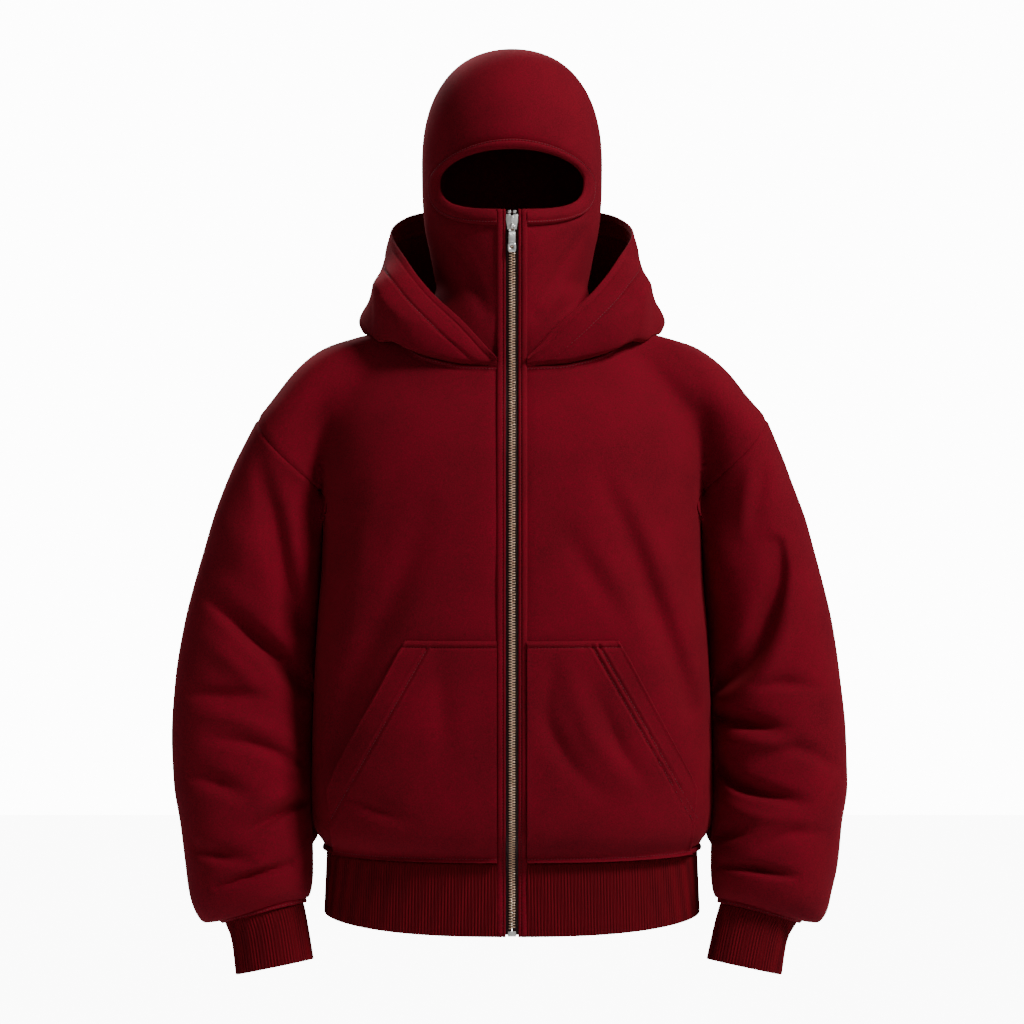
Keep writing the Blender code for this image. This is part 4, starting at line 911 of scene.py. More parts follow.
def sleeve_grid(side, shares, columns):
    """Rings from the armhole to the cuff; each starts at the outer edge and runs to the front."""
    sign = SIDES[side]
    share = np.asarray(shares, float)[:, None]
    angle = 2 * pi * np.arange(columns) / columns
    outward, forward = np.cos(angle)[None], np.sin(angle)[None]
    power = 2 / SLEEVE_POWER
    across = (1 - np.sign(outward) * np.abs(outward) ** power) / 2
    outer = read(SLEEVES, side + "_outer", share)
    inner = read(SLEEVES, "inner", share)
    outer_z, inner_z = read(SLEEVES, "outer_height", share), read(SLEEVES, "inner_height", share)
    bend = ARMHOLE_BEND * np.clip(1 - share / UNION_SHARE, 0, 1) ** 2
    x = outer + (inner - outer) * across - bend * 4 * across**3 * (1 - across)
    z = outer_z + (inner_z - outer_z) * across
    own = read(SLEEVES, "depth", share) * np.abs(forward) ** power
    blend = ramp(share, 0, UNION_SHARE)
    low = ramp(across, 0.78, 0.88)
    under_arm = ramp(share, 0, 0.25 - 0.18 * ramp(across, 0.6, 0.96))
    soften = UNION_ROUND * ramp(share, 0, 0.1) * ramp(share, UNION_SHARE, UNION_SHARE - 0.1) + 1e-6
    loose = ramp(share, 0, 0.05) * ramp(share, ALONG_SIDE, UNDER_ARM_END)
    loose = (loose * ramp(across, 0.35, 0.55) * ramp(across, 0.965, 0.885))[1:-1, 1:-1]
    points = []
    for face, toward in (("front", -1), ("back", 1)):
        shared = body_depth(side, x, z, face)
        joined, filled = shared + (own - shared) * blend, own * under_arm
        depth = soft_maximum(joined, filled, soften)
        for _ in range(UNDER_ARM_ROUNDS):
            round_it = depth[2:, 1:-1] + depth[:-2, 1:-1] + depth[1:-1, 2:] + depth[1:-1, :-2]
            depth[1:-1, 1:-1] += loose * (round_it / 4 - depth[1:-1, 1:-1])
        folds = fold_depth(SLEEVE_FOLDS[side, face], sign * x, z) + slack(sign * x, z)
        folds = folds * ramp(share, 0, 0.1) * ramp(share, 1, 0.96)
        depth = depth - folds * ramp(depth, 0, FOLD_FADE)
        y = read(SLEEVES, "forward", share) + toward * depth
        lean = read(SLEEVES, "lean", share)
        points.append(np.stack([sign * x, y, z - toward * lean * depth], -1))
    front = (forward > 0)[:, :, None]
    edge = (np.abs(forward) < 1e-6)[:, :, None]
    both = np.where(front, points[0], points[1])
    both = np.where(edge, (points[0] + points[1]) / 2, both)
    gap = SEAM_GAP + (BODY_GAP - SEAM_GAP) * np.maximum(ramp(share, 0, 0.06), low)
    lie_against(both, sign, share, across, gap)
    return clear_of_torso(both, gap)


sleeve_shares = np.concatenate(
    [
        np.linspace(0, 0.012, 4)[:-1],
        np.linspace(0.012, 0.955, 150),
        [0.96, 0.965, 0.97, 0.974, 0.978, 0.98, 0.982, 0.984, 0.986, 0.988, 0.99],
        [0.992, 0.994, 0.9955, 0.997, 0.9985, 1.0],
    ]
)


for side, sign in SIDES.items():
    points = sleeve_grid(side, sleeve_shares, SLEEVE_COLUMNS)
    points[0] += SEAM_GAP * unit(points[1] - points[0])
    normals = surface_normals(points, True)
    press = rolled_in(from_edge(points, "top"), 1.1, 1.8)
    press = press + stitched_down(from_edge(points, "bottom"), CUFF_STITCH, proud=2.6, dip=0)
    points = pressed(points, press, normals)
    from_the_arm = away_from(0.26 * sign, -0.02)
    cloth(side + "_sleeve", points, "sleeve_" + side, from_the_arm, around=True)
    line = line_at(-CUFF_STITCH, -from_edge(points, "bottom"), points)
    line, up = (np.concatenate([row, row[:1]]) for row in (line, normals[CUFF_STITCH_ROW]))
    sew(side + "_cuff_stitches", [(line, up)])

# ================================================================ rib cuffs and hem rib
# Each cuff is a short tube and the hem rib one long band, of rib knit folded double at its
# free edge. The ribs are raised in the knit itself, and fine stitches show between them.

HEM_BOTTOM = -646.0
RIB_KNIT = 2.4
RIB_PITCH = 3.5
RIB_COURSE = 0.95
RIB_RELIEF = 1.05
RIB_STEPS = 6  # points across each rib
RIB_EDGE = 1.2  # how round the folded edge is
RIB_TUCK = 0.9  # how far the first row is drawn in under the seam
CUFF_HEIGHT = 59.0
CUFF_POWER = 0.9

Cuff = namedtuple(
    "Cuff", "share right_outer left_outer outer_height right_inner left_inner inner_height depth"
)
CUFFS = [
    Cuff(0.0, 310, 308, -642.5, 226.5, 226.5, -622.5, 33.5),
    Cuff(0.35, 302.5, 297, -661, 222.5, 221, -641, 33),
    Cuff(1.0, 297, 290, -699.5, 215, 211, -683, 32.5),
]
CUFF_FORWARD = (-40.0, -46.0)
CUFF_LEAN = 0.15

# The hem rib's section at its seam and at its edge
HemRing = namedtuple("HemRing", "height half_width front back side_rise")
HEM_TOP_RING = HemRing(HEM_SEAM - SEAM_GAP, 202, 120, 117, 0)
HEM_LOW_RING = HemRing(HEM_BOTTOM, 205, 118.5, 116, 9)
HEM_POWER = 2.4


def cuff_ring(side, share, count):
    """Evenly spaced points round the cuff, starting at its outer edge."""
    sign = SIDES[side]
    fine = np.linspace(0, 2 * pi, 1441)
    outer, inner = read(CUFFS, side + "_outer", share), read(CUFFS, side + "_inner", share)
    across = (1 - np.sign(np.cos(fine)) * np.abs(np.cos(fine)) ** CUFF_POWER) / 2
    x = outer + (inner - outer) * across
    outer_z, inner_z = read(CUFFS, "outer_height", share), read(CUFFS, "inner_height", share)
    z = outer_z + (inner_z - outer_z) * across
    depth = -read(CUFFS, "depth", share) * np.sign(np.sin(fine)) * np.abs(np.sin(fine)) ** CUFF_POWER
    y = CUFF_FORWARD[0] + (CUFF_FORWARD[1] - CUFF_FORWARD[0]) * share + depth
    return evenly(np.stack([sign * x, y, z - CUFF_LEAN * depth], 1), count, closed=True)


def hem_ring(ring, count):
    """Evenly spaced points from the zip's left side round the back to its right side."""
    angle = np.linspace(0, 2 * pi, 5761)
    power = 2 / HEM_POWER
    x = ring.half_width * np.sign(np.sin(angle)) * np.abs(np.sin(angle)) ** power
    depth = np.where(np.cos(angle) > 0, ring.front, ring.back)
    y = -depth * np.sign(np.cos(angle)) * np.abs(np.cos(angle)) ** power
    keep = ~((y < 0) & (np.abs(x) < PANEL_EDGE))
    z = ring.height + ring.side_rise * np.abs(x / ring.half_width) ** 3
    line = np.stack([x, y, z], 1)[keep]
    line[0, 0], line[-1, 0] = PANEL_EDGE, -PANEL_EDGE
    return evenly(line, count)


def rib_material(name, dark, light):
    """Rib knit: fine stitches along each rib, with shade painted into the grooves between the ribs and
    between the stitches.
    """
    made, wire = new_material(name)
    place = wire.make("ShaderNodeUVMap", {"uv_map": "cloth"})
    across = place.part("X") * (1 / RIB_PITCH / MM)
    down = place.part("Y") * (1 / RIB_COURSE / MM)
    painted_rib_shade = (across * pi).sine().size()
    arm = (across.rest() - 0.5).size()
    loops = ((down + arm * 1.5) * (2 * pi)).sine() * 0.5 + 0.5
    body = wire.make("ShaderNodeTexCoord", outlet="Object")
    nap, cloud = body.noise(700.0), body.noise(21.0)
    # Painted shade: lighter on top of each rib and stitch loop, darker in the grooves between them
    tone = (painted_rib_shade * 0.55 + nap * 0.3 + cloud * 0.3 + loops * 0.12 - 0.15).limit()
    values = {
        "Base Color": tone.between(dark, light),
        "Roughness": 0.88 + nap * 0.1,
        "Normal": (loops * 0.5 + nap * 0.8).bump(0.5, 0.00012),
    }
    return surface(made, wire, {**values, **NAP_SHEEN})


rib_knit = rib_material("burgundy_rib_knit", colour(44, 1, 7), colour(118, 9, 24))


def rib_band(name, node, ring_at, length, height, closed):
    """A band of ribs from its seam (0) to its edge (1), rounded over where it is folded."""
    count = round(length / RIB_PITCH) * RIB_STEPS + (0 if closed else 1)
    wave = 0.5 - 0.5 * np.cos(2 * pi * np.arange(count) / RIB_STEPS)
    shares = np.concatenate([[0, 0.012, 0.03, 0.06], np.linspace(0.12, 1 - RIB_EDGE / height, 7)])
    rows = []
    for share in shares:
        ring = ring_at(share, count)
        ahead = np.roll(ring, -1, 0) - np.roll(ring, 1, 0) if closed else np.gradient(ring, axis=0)
        out = unit(np.cross(ahead, (0, 0, 1)))
        if (out * (ring - ring.mean(0))).sum() < 0:
            out = -out
        relief = RIB_RELIEF * wave * (0.35 + 0.65 * ramp(share, 0, 0.05))
        rows.append(ring + (relief - RIB_TUCK * (share == 0))[:, None] * out)
    last = rows[-1]
    down = unit(last - rows[-4])
    for turn in (30, 60, 90):
        a = radians(turn)
        rows.append(last + RIB_EDGE * sin(a) * down - RIB_EDGE * (1 - cos(a)) * out)
    points = np.array(rows)
    middle = points.reshape(-1, 3).mean(0) * MM
    bm = lay_grid(points, closed)
    close_up(bm, away_from(middle[0], middle[1]))
    piece = show(name, bm, rib_knit)
    thicken(piece, RIB_KNIT)
    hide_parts(node)


for side in SIDES:
    rough = cuff_ring(side, 0.5, 200)
    length = np.linalg.norm(np.roll(rough, -1, 0) - rough, axis=1).sum()

    def cuff_at(share, count):
        ring = cuff_ring(side, share, count)
        ring[:, 2] -= SEAM_GAP * (1 - share)
        return ring

    rib_band(side + "_rib_cuff", "cuff_" + side, cuff_at, length, CUFF_HEIGHT, True)


def hem_at(share, count):
    low, top = hem_ring(HEM_LOW_RING, count), hem_ring(HEM_TOP_RING, count)
    return top + (low - top) * share


hem_length = run_of(hem_ring(HEM_TOP_RING, 400))[-1]
rib_band("hem_rib_band", "hem_rib", hem_at, hem_length, HEM_SEAM - HEM_BOTTOM, False)

# ================================================================ face mask
# The mask is sewn to the neck seam under the hood. It flares in from the seam, stands up round
# the neck and closes over the head, with a hemmed oval opening for the eyes.

# The mask over head and neck
Mask = namedtuple("Mask", "height half_width front back")
MASK = [
    Mask(178, 99.2, 120, 124),
    Mask(150, 98.8, 121.5, 124),
    Mask(115, 96.3, 122, 122),
    Mask(88, 91, 121, 118),
    Mask(50, 83.5, 118, 109),
]
MASK_FLARE_TOP = 50.0  # above this the mask stands free of the neck seam
MASK_INSIDE_SEAM = 4.5
FLARE_START = 1.3  # how far the mask keeps the direction in which it leaves the neck seam
CROWN_BASE = 178.0
CROWN_TOP = 305.4
CROWN_POWER = 2.35
CROWN_BACK = 190.0  # where the rows over the crown meet the centre back
MASK_COLUMNS, LIP_ROWS, EYE_ROWS, FLARE_ROWS = 44, 12, 52, 20
MASK_ROUNDS = 900  # how often the mask's points are evened out between its edges

# The eye opening: its hem line and its cut edge, each two half ovals about one height
EyeEdge = namedtuple("EyeEdge", "half_width middle rise top_power drop bottom_power")
EYE_HEM = EyeEdge(90, 152, 39.5, 1.8, 52, 2.6)
EYE_CUT = EyeEdge(77.5, 153, 28, 2.05, 36, 2.8)

# The creases beside the neck of the mask, as the folds above
MASK_FOLDS = [
    Fold([(-85, 113), (-66, 82), (-46, 49), (-29, 12)], 6, 8, 0.7, 0.2, 0.4),
    Fold([(-77, 105), (-56, 81), (-33, 37)], -5, 4.5, 1, 0.5, 0.3),
    Fold([(85, 117), (63, 80), (44, 44), (26, 7)], 7, 9, 0.7, 0.2, 0.4),
    Fold([(76, 109), (53, 73), (28, 20)], -5, 4.5, 1, 0.5, 0.3),
    Fold([(82, 27), (53, 10), (35, -17)], 5, 10, 0.7, 0.5, 0.3),
]


def neck_ring(share):
    """The left of the neck seam on the body, from the centre front (0) to the centre back (1)."""
    corners = np.concatenate([neck_corners("front"), neck_corners("back")[-2::-1]])
    places = np.linspace(0, 1, len(corners))
    return np.stack([np.interp(share, places, corners[:, i]) for i in range(3)], -1)


def crown_level(z):
    """How wide the crown still is at a height, as a share of its base."""
    rise = np.clip((z - CROWN_BASE) / (CROWN_TOP - CROWN_BASE), 0, 1)
    return (1 - rise**CROWN_POWER) ** (1 / CROWN_POWER)


def onto_mask(points):
    """Pushes points out to the mask's form, level with them or away from the crown's base."""
    x, y, z = points[..., 0], points[..., 1], points[..., 2]
    half_width = read(MASK, "half_width", z)
    depth = np.where(y < 0, read(MASK, "front", z), read(MASK, "back", z))
    flat = np.hypot(x / half_width, y / depth)
    rise = np.clip((z - CROWN_BASE) / (CROWN_TOP - CROWN_BASE), 0, None)
    size = (flat**CROWN_POWER + rise**CROWN_POWER) ** (1 / CROWN_POWER)
    out = 1 / np.maximum(size, 1e-6)
    new_z = np.where(z > CROWN_BASE, CROWN_BASE + (z - CROWN_BASE) * out, z)
    return np.stack([x * out, y * out, new_z], -1)


def mask_normals(points):
    """Directions away from the mask's form at points on it."""
    x, y, z = points[..., 0], points[..., 1], points[..., 2]
    half_width = read(MASK, "half_width", z)
    depth = np.where(y < 0, read(MASK, "front", z), read(MASK, "back", z))
    flat = np.maximum(np.hypot(x / half_width, y / depth), 1e-3) ** (CROWN_POWER - 2)
    rise = np.clip((z - CROWN_BASE) / (CROWN_TOP - CROWN_BASE), 0, 1)
    up = rise ** (CROWN_POWER - 1) / (CROWN_TOP - CROWN_BASE)
    return unit(np.stack([flat * x / half_width**2, flat * y / depth**2, up], -1))


def eye_line(edge, share):
    """One side of the eye opening, from its bottom centre (0) to its top centre (1)."""
    angle = np.asarray(share, float) * pi
    low = angle < pi / 2
    power = 2 / np.where(low, edge.bottom_power, edge.top_power)
    x = edge.half_width * np.sin(angle) ** power
    height = np.abs(np.cos(angle)) ** power
    z = edge.middle + np.where(low, -edge.drop * height, edge.rise * height)
    return np.stack([x, z], -1)


def on_mask_front(x, z):
    """The front of the mask at a place in the front view."""
    level = crown_level(z)
    share = np.minimum(np.abs(x) / (read(MASK, "half_width", z) * level), 1)
    return np.stack([x, -read(MASK, "front", z) * level * np.sqrt(1 - share**2), z], -1)


def eye_share_at_placket(edge):
    """Where the eye opening's line meets the placket's outer edge."""
    shares = np.linspace(0, 0.5, 2001)
    return float(np.interp(PANEL_EDGE, eye_line(edge, shares)[:, 0], shares))


def eye_half(edge, steps):
    """One side of an eye line at even steps along it, from the placket to the top centre."""
    fine = eye_line(edge, np.linspace(eye_share_at_placket(edge), 1, 1500))
    return evenly(fine, steps + 1)


def even_out(patch, rounds):
    """Spreads a grid's inner points over the mask so that no cell folds over its neighbour."""
    patch = patch.copy()
    patch[1:-1, 1:-1] = onto_mask(patch[1:-1, 1:-1])
    for _ in range(rounds):
        next_u, last_u = patch[1:-1, 2:], patch[1:-1, :-2]
        next_v, last_v = patch[2:, 1:-1], patch[:-2, 1:-1]
        step_u, step_v = (next_u - last_u) / 2, (next_v - last_v) / 2
        long_u = (step_u**2).sum(-1, keepdims=True)
        long_v = (step_v**2).sum(-1, keepdims=True)
        skew = (step_u * step_v).sum(-1, keepdims=True)
        twist = patch[2:, 2:] - patch[2:, :-2] - patch[:-2, 2:] + patch[:-2, :-2]
        spread = long_v * (next_u + last_u) + long_u * (next_v + last_v) - skew * twist / 2
        patch[1:-1, 1:-1] = onto_mask(spread / (2 * (long_u + long_v)))
    return patch


def mask_half():
    """The mask's left half: rows from the neck seam to the crown, columns from front to back."""
    curve = eye_half(EYE_HEM, EYE_ROWS)
    straight = np.linspace(MASK_FLARE_TOP, curve[0, 1], LIP_ROWS + 1)
    front_xz = np.concatenate(
        [np.stack([np.full(LIP_ROWS + 1, PANEL_EDGE), straight], 1), curve[1:]]
    )
    front_edge = on_mask_front(front_xz[:, 0], front_xz[:, 1])
    rows = len(front_edge)
    back_z = MASK_FLARE_TOP + (CROWN_BACK - MASK_FLARE_TOP) * np.linspace(0, 1, rows)
    level = crown_level(back_z)
    back_edge = np.stack([0 * back_z, read(MASK, "back", back_z) * level, back_z], -1)
    turn = np.linspace(0, 1, MASK_COLUMNS + 1)
    start_angle = np.arcsin(PANEL_EDGE / read(MASK, "half_width", MASK_FLARE_TOP))
    azimuth = start_angle + (pi - start_angle) * turn
    height = np.full_like(azimuth, MASK_FLARE_TOP)
    face = np.where(np.cos(azimuth) > 0, read(MASK, "front", height), read(MASK, "back", height))
    half_width = read(MASK, "half_width", height)
    bottom = np.stack([half_width * np.sin(azimuth), -face * np.cos(azimuth), height], -1)
    tilt = np.linspace(
        np.arctan2(front_edge[-1, 2] - CROWN_BASE, front_edge[-1, 1]),
        np.arctan2(back_edge[-1, 2] - CROWN_BASE, back_edge[-1, 1]),
        MASK_COLUMNS + 1,
    )
    # Points over the head at any distance: onto_mask takes them out to the crown
    top = onto_mask(np.stack([0 * tilt, 60 * np.cos(tilt), CROWN_BASE + 60 * np.sin(tilt)], -1))
    u, v = turn[None, :, None], np.linspace(0, 1, rows)[:, None, None]
    corners = (
        (1 - u) * (1 - v) * bottom[0] + u * (1 - v) * bottom[-1]
        + (1 - u) * v * top[0] + u * v * top[-1]
    )
    patch = (
        (1 - v) * bottom[None] + v * top[None]
        + (1 - u) * front_edge[:, None] + u * back_edge[:, None] - corners
    )
    patch = even_out(patch, MASK_ROUNDS)
    neck = neck_ring(turn)
    radial = neck[:, :2] / np.linalg.norm(neck[:, :2], axis=1)[:, None]
    neck[:, :2] -= MASK_INSIDE_SEAM * radial
    neck[0, 0] = PANEL_EDGE
    neck[-1, 0] = 0
    neck[:, 2] += SEAM_GAP
    t = np.linspace(0, 1, FLARE_ROWS + 1)[:-1, None, None]
    tall = bottom[:, 2:] - neck[:, 2:]
    above = (patch[2] - patch[0]) / np.maximum(patch[2] - patch[0], 1)[:, 2:] * tall
    below = (bottom - neck) * FLARE_START
    lower = (
        (2 * t**3 - 3 * t**2 + 1) * neck + (t**3 - 2 * t**2 + t) * below
        + (3 * t**2 - 2 * t**3) * bottom + (t**3 - t**2) * above
    )
    lower[:, 0, 0] = PANEL_EDGE
    lower[:, -1, 0] = 0
    return np.concatenate([lower, patch])


half = mask_half()
standing = (half[..., 2] >= MASK_FLARE_TOP - 1e-6)[..., None]
normals = np.where(standing, mask_normals(half), surface_normals(half))
near_band = from_edge(half, "first")
near_band[: FLARE_ROWS + LIP_ROWS] = np.inf
dip = rolled_in(near_band, 1.6, 1.6)
mask_halves = []
for sign in SIDES.values():
    crease = fold_depth(MASK_FOLDS, sign * half[..., 0], half[..., 2]) * (half[..., 1] < 0)
    mask_halves.append(pressed(half, crease + dip, normals) * np.array([sign, 1, 1]))
left_half, right_half = mask_halves
points = np.concatenate([left_half, right_half[:, -2::-1]], axis=1)
points[:, MASK_COLUMNS, 0] = 0
points[-1, :, 0] = 0
from_the_head = away_from(0, 0, 0.1)
cloth("face_mask", points, "mask", from_the_head)

# ================================================================ eye band
# A folded band of the same fleece hems the eye opening. Its inner edge is rounded over, and a
# line of stitches holds its outer edge to the mask.

BAND_STEPS = 150
BAND_REACH = 0.915  # the flat part of the band; its rolled edge takes up the rest
BAND_ROWS = (0.0, 0.03, 0.07, 0.12, 0.17, 0.22, 0.27, 0.34, 0.45, 0.58, 0.72, 0.85, 0.94, 1.0)
BAND_STITCH_ROW = 5
BAND_PUFF, BAND_TUCK, BAND_CREASE = 3.6, 3.3, 1.1
BAND_ROLL = 1.9
band_rows = []
hem_edge, cut_edge = eye_half(EYE_HEM, BAND_STEPS), eye_half(EYE_CUT, BAND_STEPS)
for share in BAND_ROWS:
    line = hem_edge + (cut_edge - hem_edge) * BAND_REACH * share
    whole = np.concatenate([line, line[-2::-1] * np.array([-1, 1])])
    place = on_mask_front(whole[:, 0], whole[:, 1])
    puff = BAND_PUFF * np.sin(pi * min(share * 0.8 + 0.1, 1)) ** 0.8
    press = groove(share, BAND_TUCK, 0.06) + groove(share - 0.3, BAND_CREASE, 0.06)
    band_rows.append(place + (puff - press) * mask_normals(place))
points = np.array(band_rows)
inward = unit(points[-1] - points[-4])
normal = mask_normals(points[-1])
roll = [
    points[-1] + BAND_ROLL * sin(radians(turn)) * inward - BAND_ROLL * (1 - cos(radians(turn))) * normal
    for turn in (30, 60, 90, 120, 150)
]
points = np.concatenate([points, np.array(roll)])
cloth("eye_band", points, "face_band", from_the_head, thickness=1.2)
stitched = band_rows[BAND_STITCH_ROW]
sew("eye_band_stitches", [(stitched, mask_normals(stitched))])

# ================================================================ hood
# The hood is cut in two halves of fleece with a seam down its middle. It is down: it lies on
# the shoulders, turns over at a soft lip, swells out and ends in a wide turned hem.

# The hood's sections, from the centre front (0) to the centre back (1). Each starts at the
# neck seam, lies on the shoulders, turns at a lip, swells and ends at the rim.
Hood = namedtuple(
    "Hood",
    "share azimuth rest_out rest_up lip_out lip_up swell_out swell_up rim_x rim_y rim_z",
)
HOOD = [
    Hood(0.00, 4, 2, 2, 4, 4, 5, 6, 17, -119, -40),
    Hood(0.12, 12, 5, 2, 9, 5, 12, 24, 50, -117, -3),
    Hood(0.26, 35, 9, 0, 18, 2, 27, 34, 88, -99, 34.5),
    Hood(0.38, 56, 31, -18, 38, -11, 40, 40, 112, -70, 67),
    Hood(0.52, 90, 46, -9, 54, 5, 35, 38, 134, 0, 107),
    Hood(0.68, 127, 44, -20, 68, -36, 69, 20, 119, 76, 134),
    Hood(0.84, 152, 44, -36, 76, -96, 104, -30, 78, 134, 150),
    Hood(1.00, 180, 46, -58, 70, -122, 108, -50, 0, 166, 158),
]

HOOD_HEM = 24.5  # how far the hem's stitches lie from the rim
HOOD_HEM_ROW = -20  # the row of the hood beside them
HOOD_COLUMNS = 96


def body_top(side, x, y):
    """The height of the body's upper side over a place, found by halving."""
    low, high = np.full_like(x, -220.0), np.full_like(x, 30.0)
    for _ in range(20):
        middle = (low + high) / 2
        front, back = body_depth(side, x, middle, "front"), body_depth(side, x, middle, "back")
        inside = np.where(y < 0, front, back) > np.abs(y)
        low, high = np.where(inside, middle, low), np.where(inside, high, middle)
    return low


def hood_grid(side, columns, rows):
    """Half the hood: rows from the neck seam to the rim, columns from front to centre back."""
    shares = np.linspace(0, 1, columns + 1)
    seam = neck_ring(shares) + [0, 0, SEAM_GAP]
    azimuth = np.radians(read(HOOD, "azimuth", shares))
    out = np.stack([np.sin(azimuth), -np.cos(azimuth), np.zeros_like(azimuth)], -1)
    grid = np.zeros((len(rows), columns + 1, 3))
    for j, share in enumerate(shares):
        profile = [seam[j]]
        for name in ("rest", "lip", "swell"):
            rise = np.array([0, 0, read(HOOD, name + "_up", share)])
            profile.append(seam[j] + out[j] * read(HOOD, name + "_out", share) + rise)
        profile.append([read(HOOD, "rim_" + axis, share) for axis in "xyz"])
        grid[:, j] = along(profile, rows)
    lifted = body_top(side, grid[1:, :, 0], grid[1:, :, 1]) + BODY_GAP
    grid[1:, :, 2] = np.maximum(grid[1:, :, 2], lifted)
    grid[:, 0, 0] = np.maximum(grid[:, 0, 0], PANEL_EDGE)
    return grid * np.array([SIDES[side], 1, 1])


def turned_edge(points, normals, radius):
    """Adds rows that roll a sheet's last row over to its inside."""
    on = unit(points[-1] - points[-3])
    rows = [
        points[-1] + radius * sin(radians(turn)) * on - radius * (1 - cos(radians(turn))) * normals[-1]
        for turn in (30, 60, 90, 130)
    ]
    return np.concatenate([points, np.array(rows)])


hood_rows = np.concatenate(
    [np.linspace(0, 0.66, 40), np.linspace(0.67, 0.93, 40), np.linspace(0.94, 0.997, 8)]
)
for side, sign in SIDES.items():
    points = hood_grid(side, HOOD_COLUMNS, hood_rows)
    normals = surface_normals(points)
    if normals[-1, HOOD_COLUMNS // 2, 0] * sign < 0:
        normals = -normals
    far = from_edge(points, "bottom")
    press = groove(far - HOOD_HEM, 1.5, 1.5) - groove(far - HOOD_HEM + 9, 0.9, 9)
    press = press + rolled_in(from_edge(points, "last"), 1.2, 2.2) + groove(far - 5.5, 0.9, 1.3)
    points = pressed(points, press, normals)
    line = line_at(-HOOD_HEM, -far, points)
    sew(side + "_hood_hem_stitches", [(line, normals[HOOD_HEM_ROW])])
    points = turned_edge(points, normals, 1.3)
    points[..., 0] = sign * np.maximum(sign * points[..., 0], SEAM_GAP / 2)

    def off_the_hood(place, points=points, normals=normals):
        flat = points[: len(normals)].reshape(-1, 3)
        nearest = np.argmin(((flat - np.array(place) / MM) ** 2).sum(1))
        return Vector(normals.reshape(-1, 3)[nearest])

    cloth(side + "_hood_half", points, "hood_" + side, off_the_hood)

# ================================================================ kangaroo pockets
# A patch of fleece lies on each front. It is stitched down along its top and the zip, its
# slanted mouth is hemmed and stands a little off the body.

LAID_ON = 1.0
POCKET_STITCH = -340.4  # the line of stitches under the top edge
MOUTH_LIFT = 4.0  # how far the middle of the mouth stands off the body

# Kangaroo pocket: its outer edge as height and distance out
POCKET_EDGE = [(-333, 110), (-494, 193), (-549, 191), (-565.5, 189)]
pocket_heights = np.concatenate(
    [
        [-333.6, -334.6, -336, -338, -339.6, -340.6, -341.6, -343.5, -346],
        np.arange(-350, -560, -4.6),
        [-562, -564.5, -566],
    ]
)


def pocket_points(side, across, heights, lift):
    """Places on a pocket: shares across it from the zip to the mouth, at heights."""
    sign = SIDES[side]
    edge = np.interp(-heights, [-z for z, x in POCKET_EDGE], [x for z, x in POCKET_EDGE])
    inner_edge = PANEL_EDGE + SEAM_GAP
    x = inner_edge + (edge[:, None] - inner_edge) * across
    z = np.repeat(heights[:, None], across.shape[-1], axis=1)
    points = on_body(side, "front", sign * x, z)
    normals = surface_normals(points)
    if normals[4, 3, 1] > 0:
        normals = -normals
    near_mouth = across**3 * np.interp(z, [-510, -480, -350, -333], [0, 1, 1, 0])
    return points + (lift + MOUTH_LIFT * near_mouth)[..., None] * normals, normals


# Lines that hem the mouth of each pocket, two on the left and one on the right; they start on the top
# edge and meet its lower corner
MOUTH_LINES = {
    "right": [((-88, -342), (-196, -533))],
    "left": [((83, -339), (194, -531)), ((90.5, -339), (198, -527))],
}


def beside_line(points, first, last):
    """The distance of places in the front view from a straight line between two others."""
    first, last = np.array(first, float), np.array(last, float)
    step = last - first
    x, z = points[..., 0] - first[0], points[..., 2] - first[1]
    t = np.clip((x * step[0] + z * step[1]) / (step**2).sum(), 0, 1)
    return np.hypot(x - t * step[0], z - t * step[1])


def forwards(place):
    """Straight out of the front."""
    return Vector((0, -1, 0))


pocket_shares = np.concatenate(
    [[0, 0.008, 0.02, 0.04], np.linspace(0.06, 0.975, 84), [0.983, 0.99, 0.996, 1]]
)
for side in SIDES:
    across = pocket_shares[None]
    points, normals = pocket_points(side, across, pocket_heights, LAID_ON + FLEECE)
    top = pocket_heights[0]
    press = stitched_down(top - points[..., 2], top - POCKET_STITCH, 1.2, 1.0)
    from_mouth = from_edge(points, "last")
    press = press + hem_press(points)
    press = press + groove(from_mouth, 0.9, 0.7) - groove(from_mouth - 2.2, 1.2, 1.3)
    for first, last in MOUTH_LINES[side]:
        beside = beside_line(points, first, last)
        press = press + groove(beside, 1.5, 1.5) - groove(beside - 3.4, 0.5, 1.6)
    points = pressed(points, press, normals)
    cloth(side + "_pocket", points, "pocket_" + side, forwards)
    rows = [np.argmin(np.abs(pocket_heights - height)) for height in (POCKET_STITCH, HEM_STITCH)]
    lines = [(points[row], normals[row]) for row in rows]
    for first, last in MOUTH_LINES[side]:
        shares = np.linspace(0.01, 0.99, 60)[:, None]
        wanted = np.array(first) + (np.array(last) - np.array(first)) * shares
        gaps = points[None, ..., ::2] - wanted[:, None, None]
        nearest = (gaps**2).sum(-1).reshape(len(wanted), -1).argmin(1)
        y = points[..., 1].reshape(-1)[nearest]
        lines.append((np.stack([wanted[:, 0], y, wanted[:, 1]], 1), normals.reshape(-1, 3)[nearest]))
    sew(side + "_pocket_stitches", lines)
    line, normals = hem_sewing[side]
    beyond = np.abs(line[:, 0]) > POCKET_EDGE[-1][1] + LAID_ON
    sew(side + "_hem_stitches", [(line[beyond], normals[beyond])])

# ================================================================ zip plackets
# Beside the zip each front edge is folded back and stitched twice, which leaves a narrow and
# a wider ridge with a groove between them.

LIP_TOP = 117.0
NECK_FRONT = -49.0


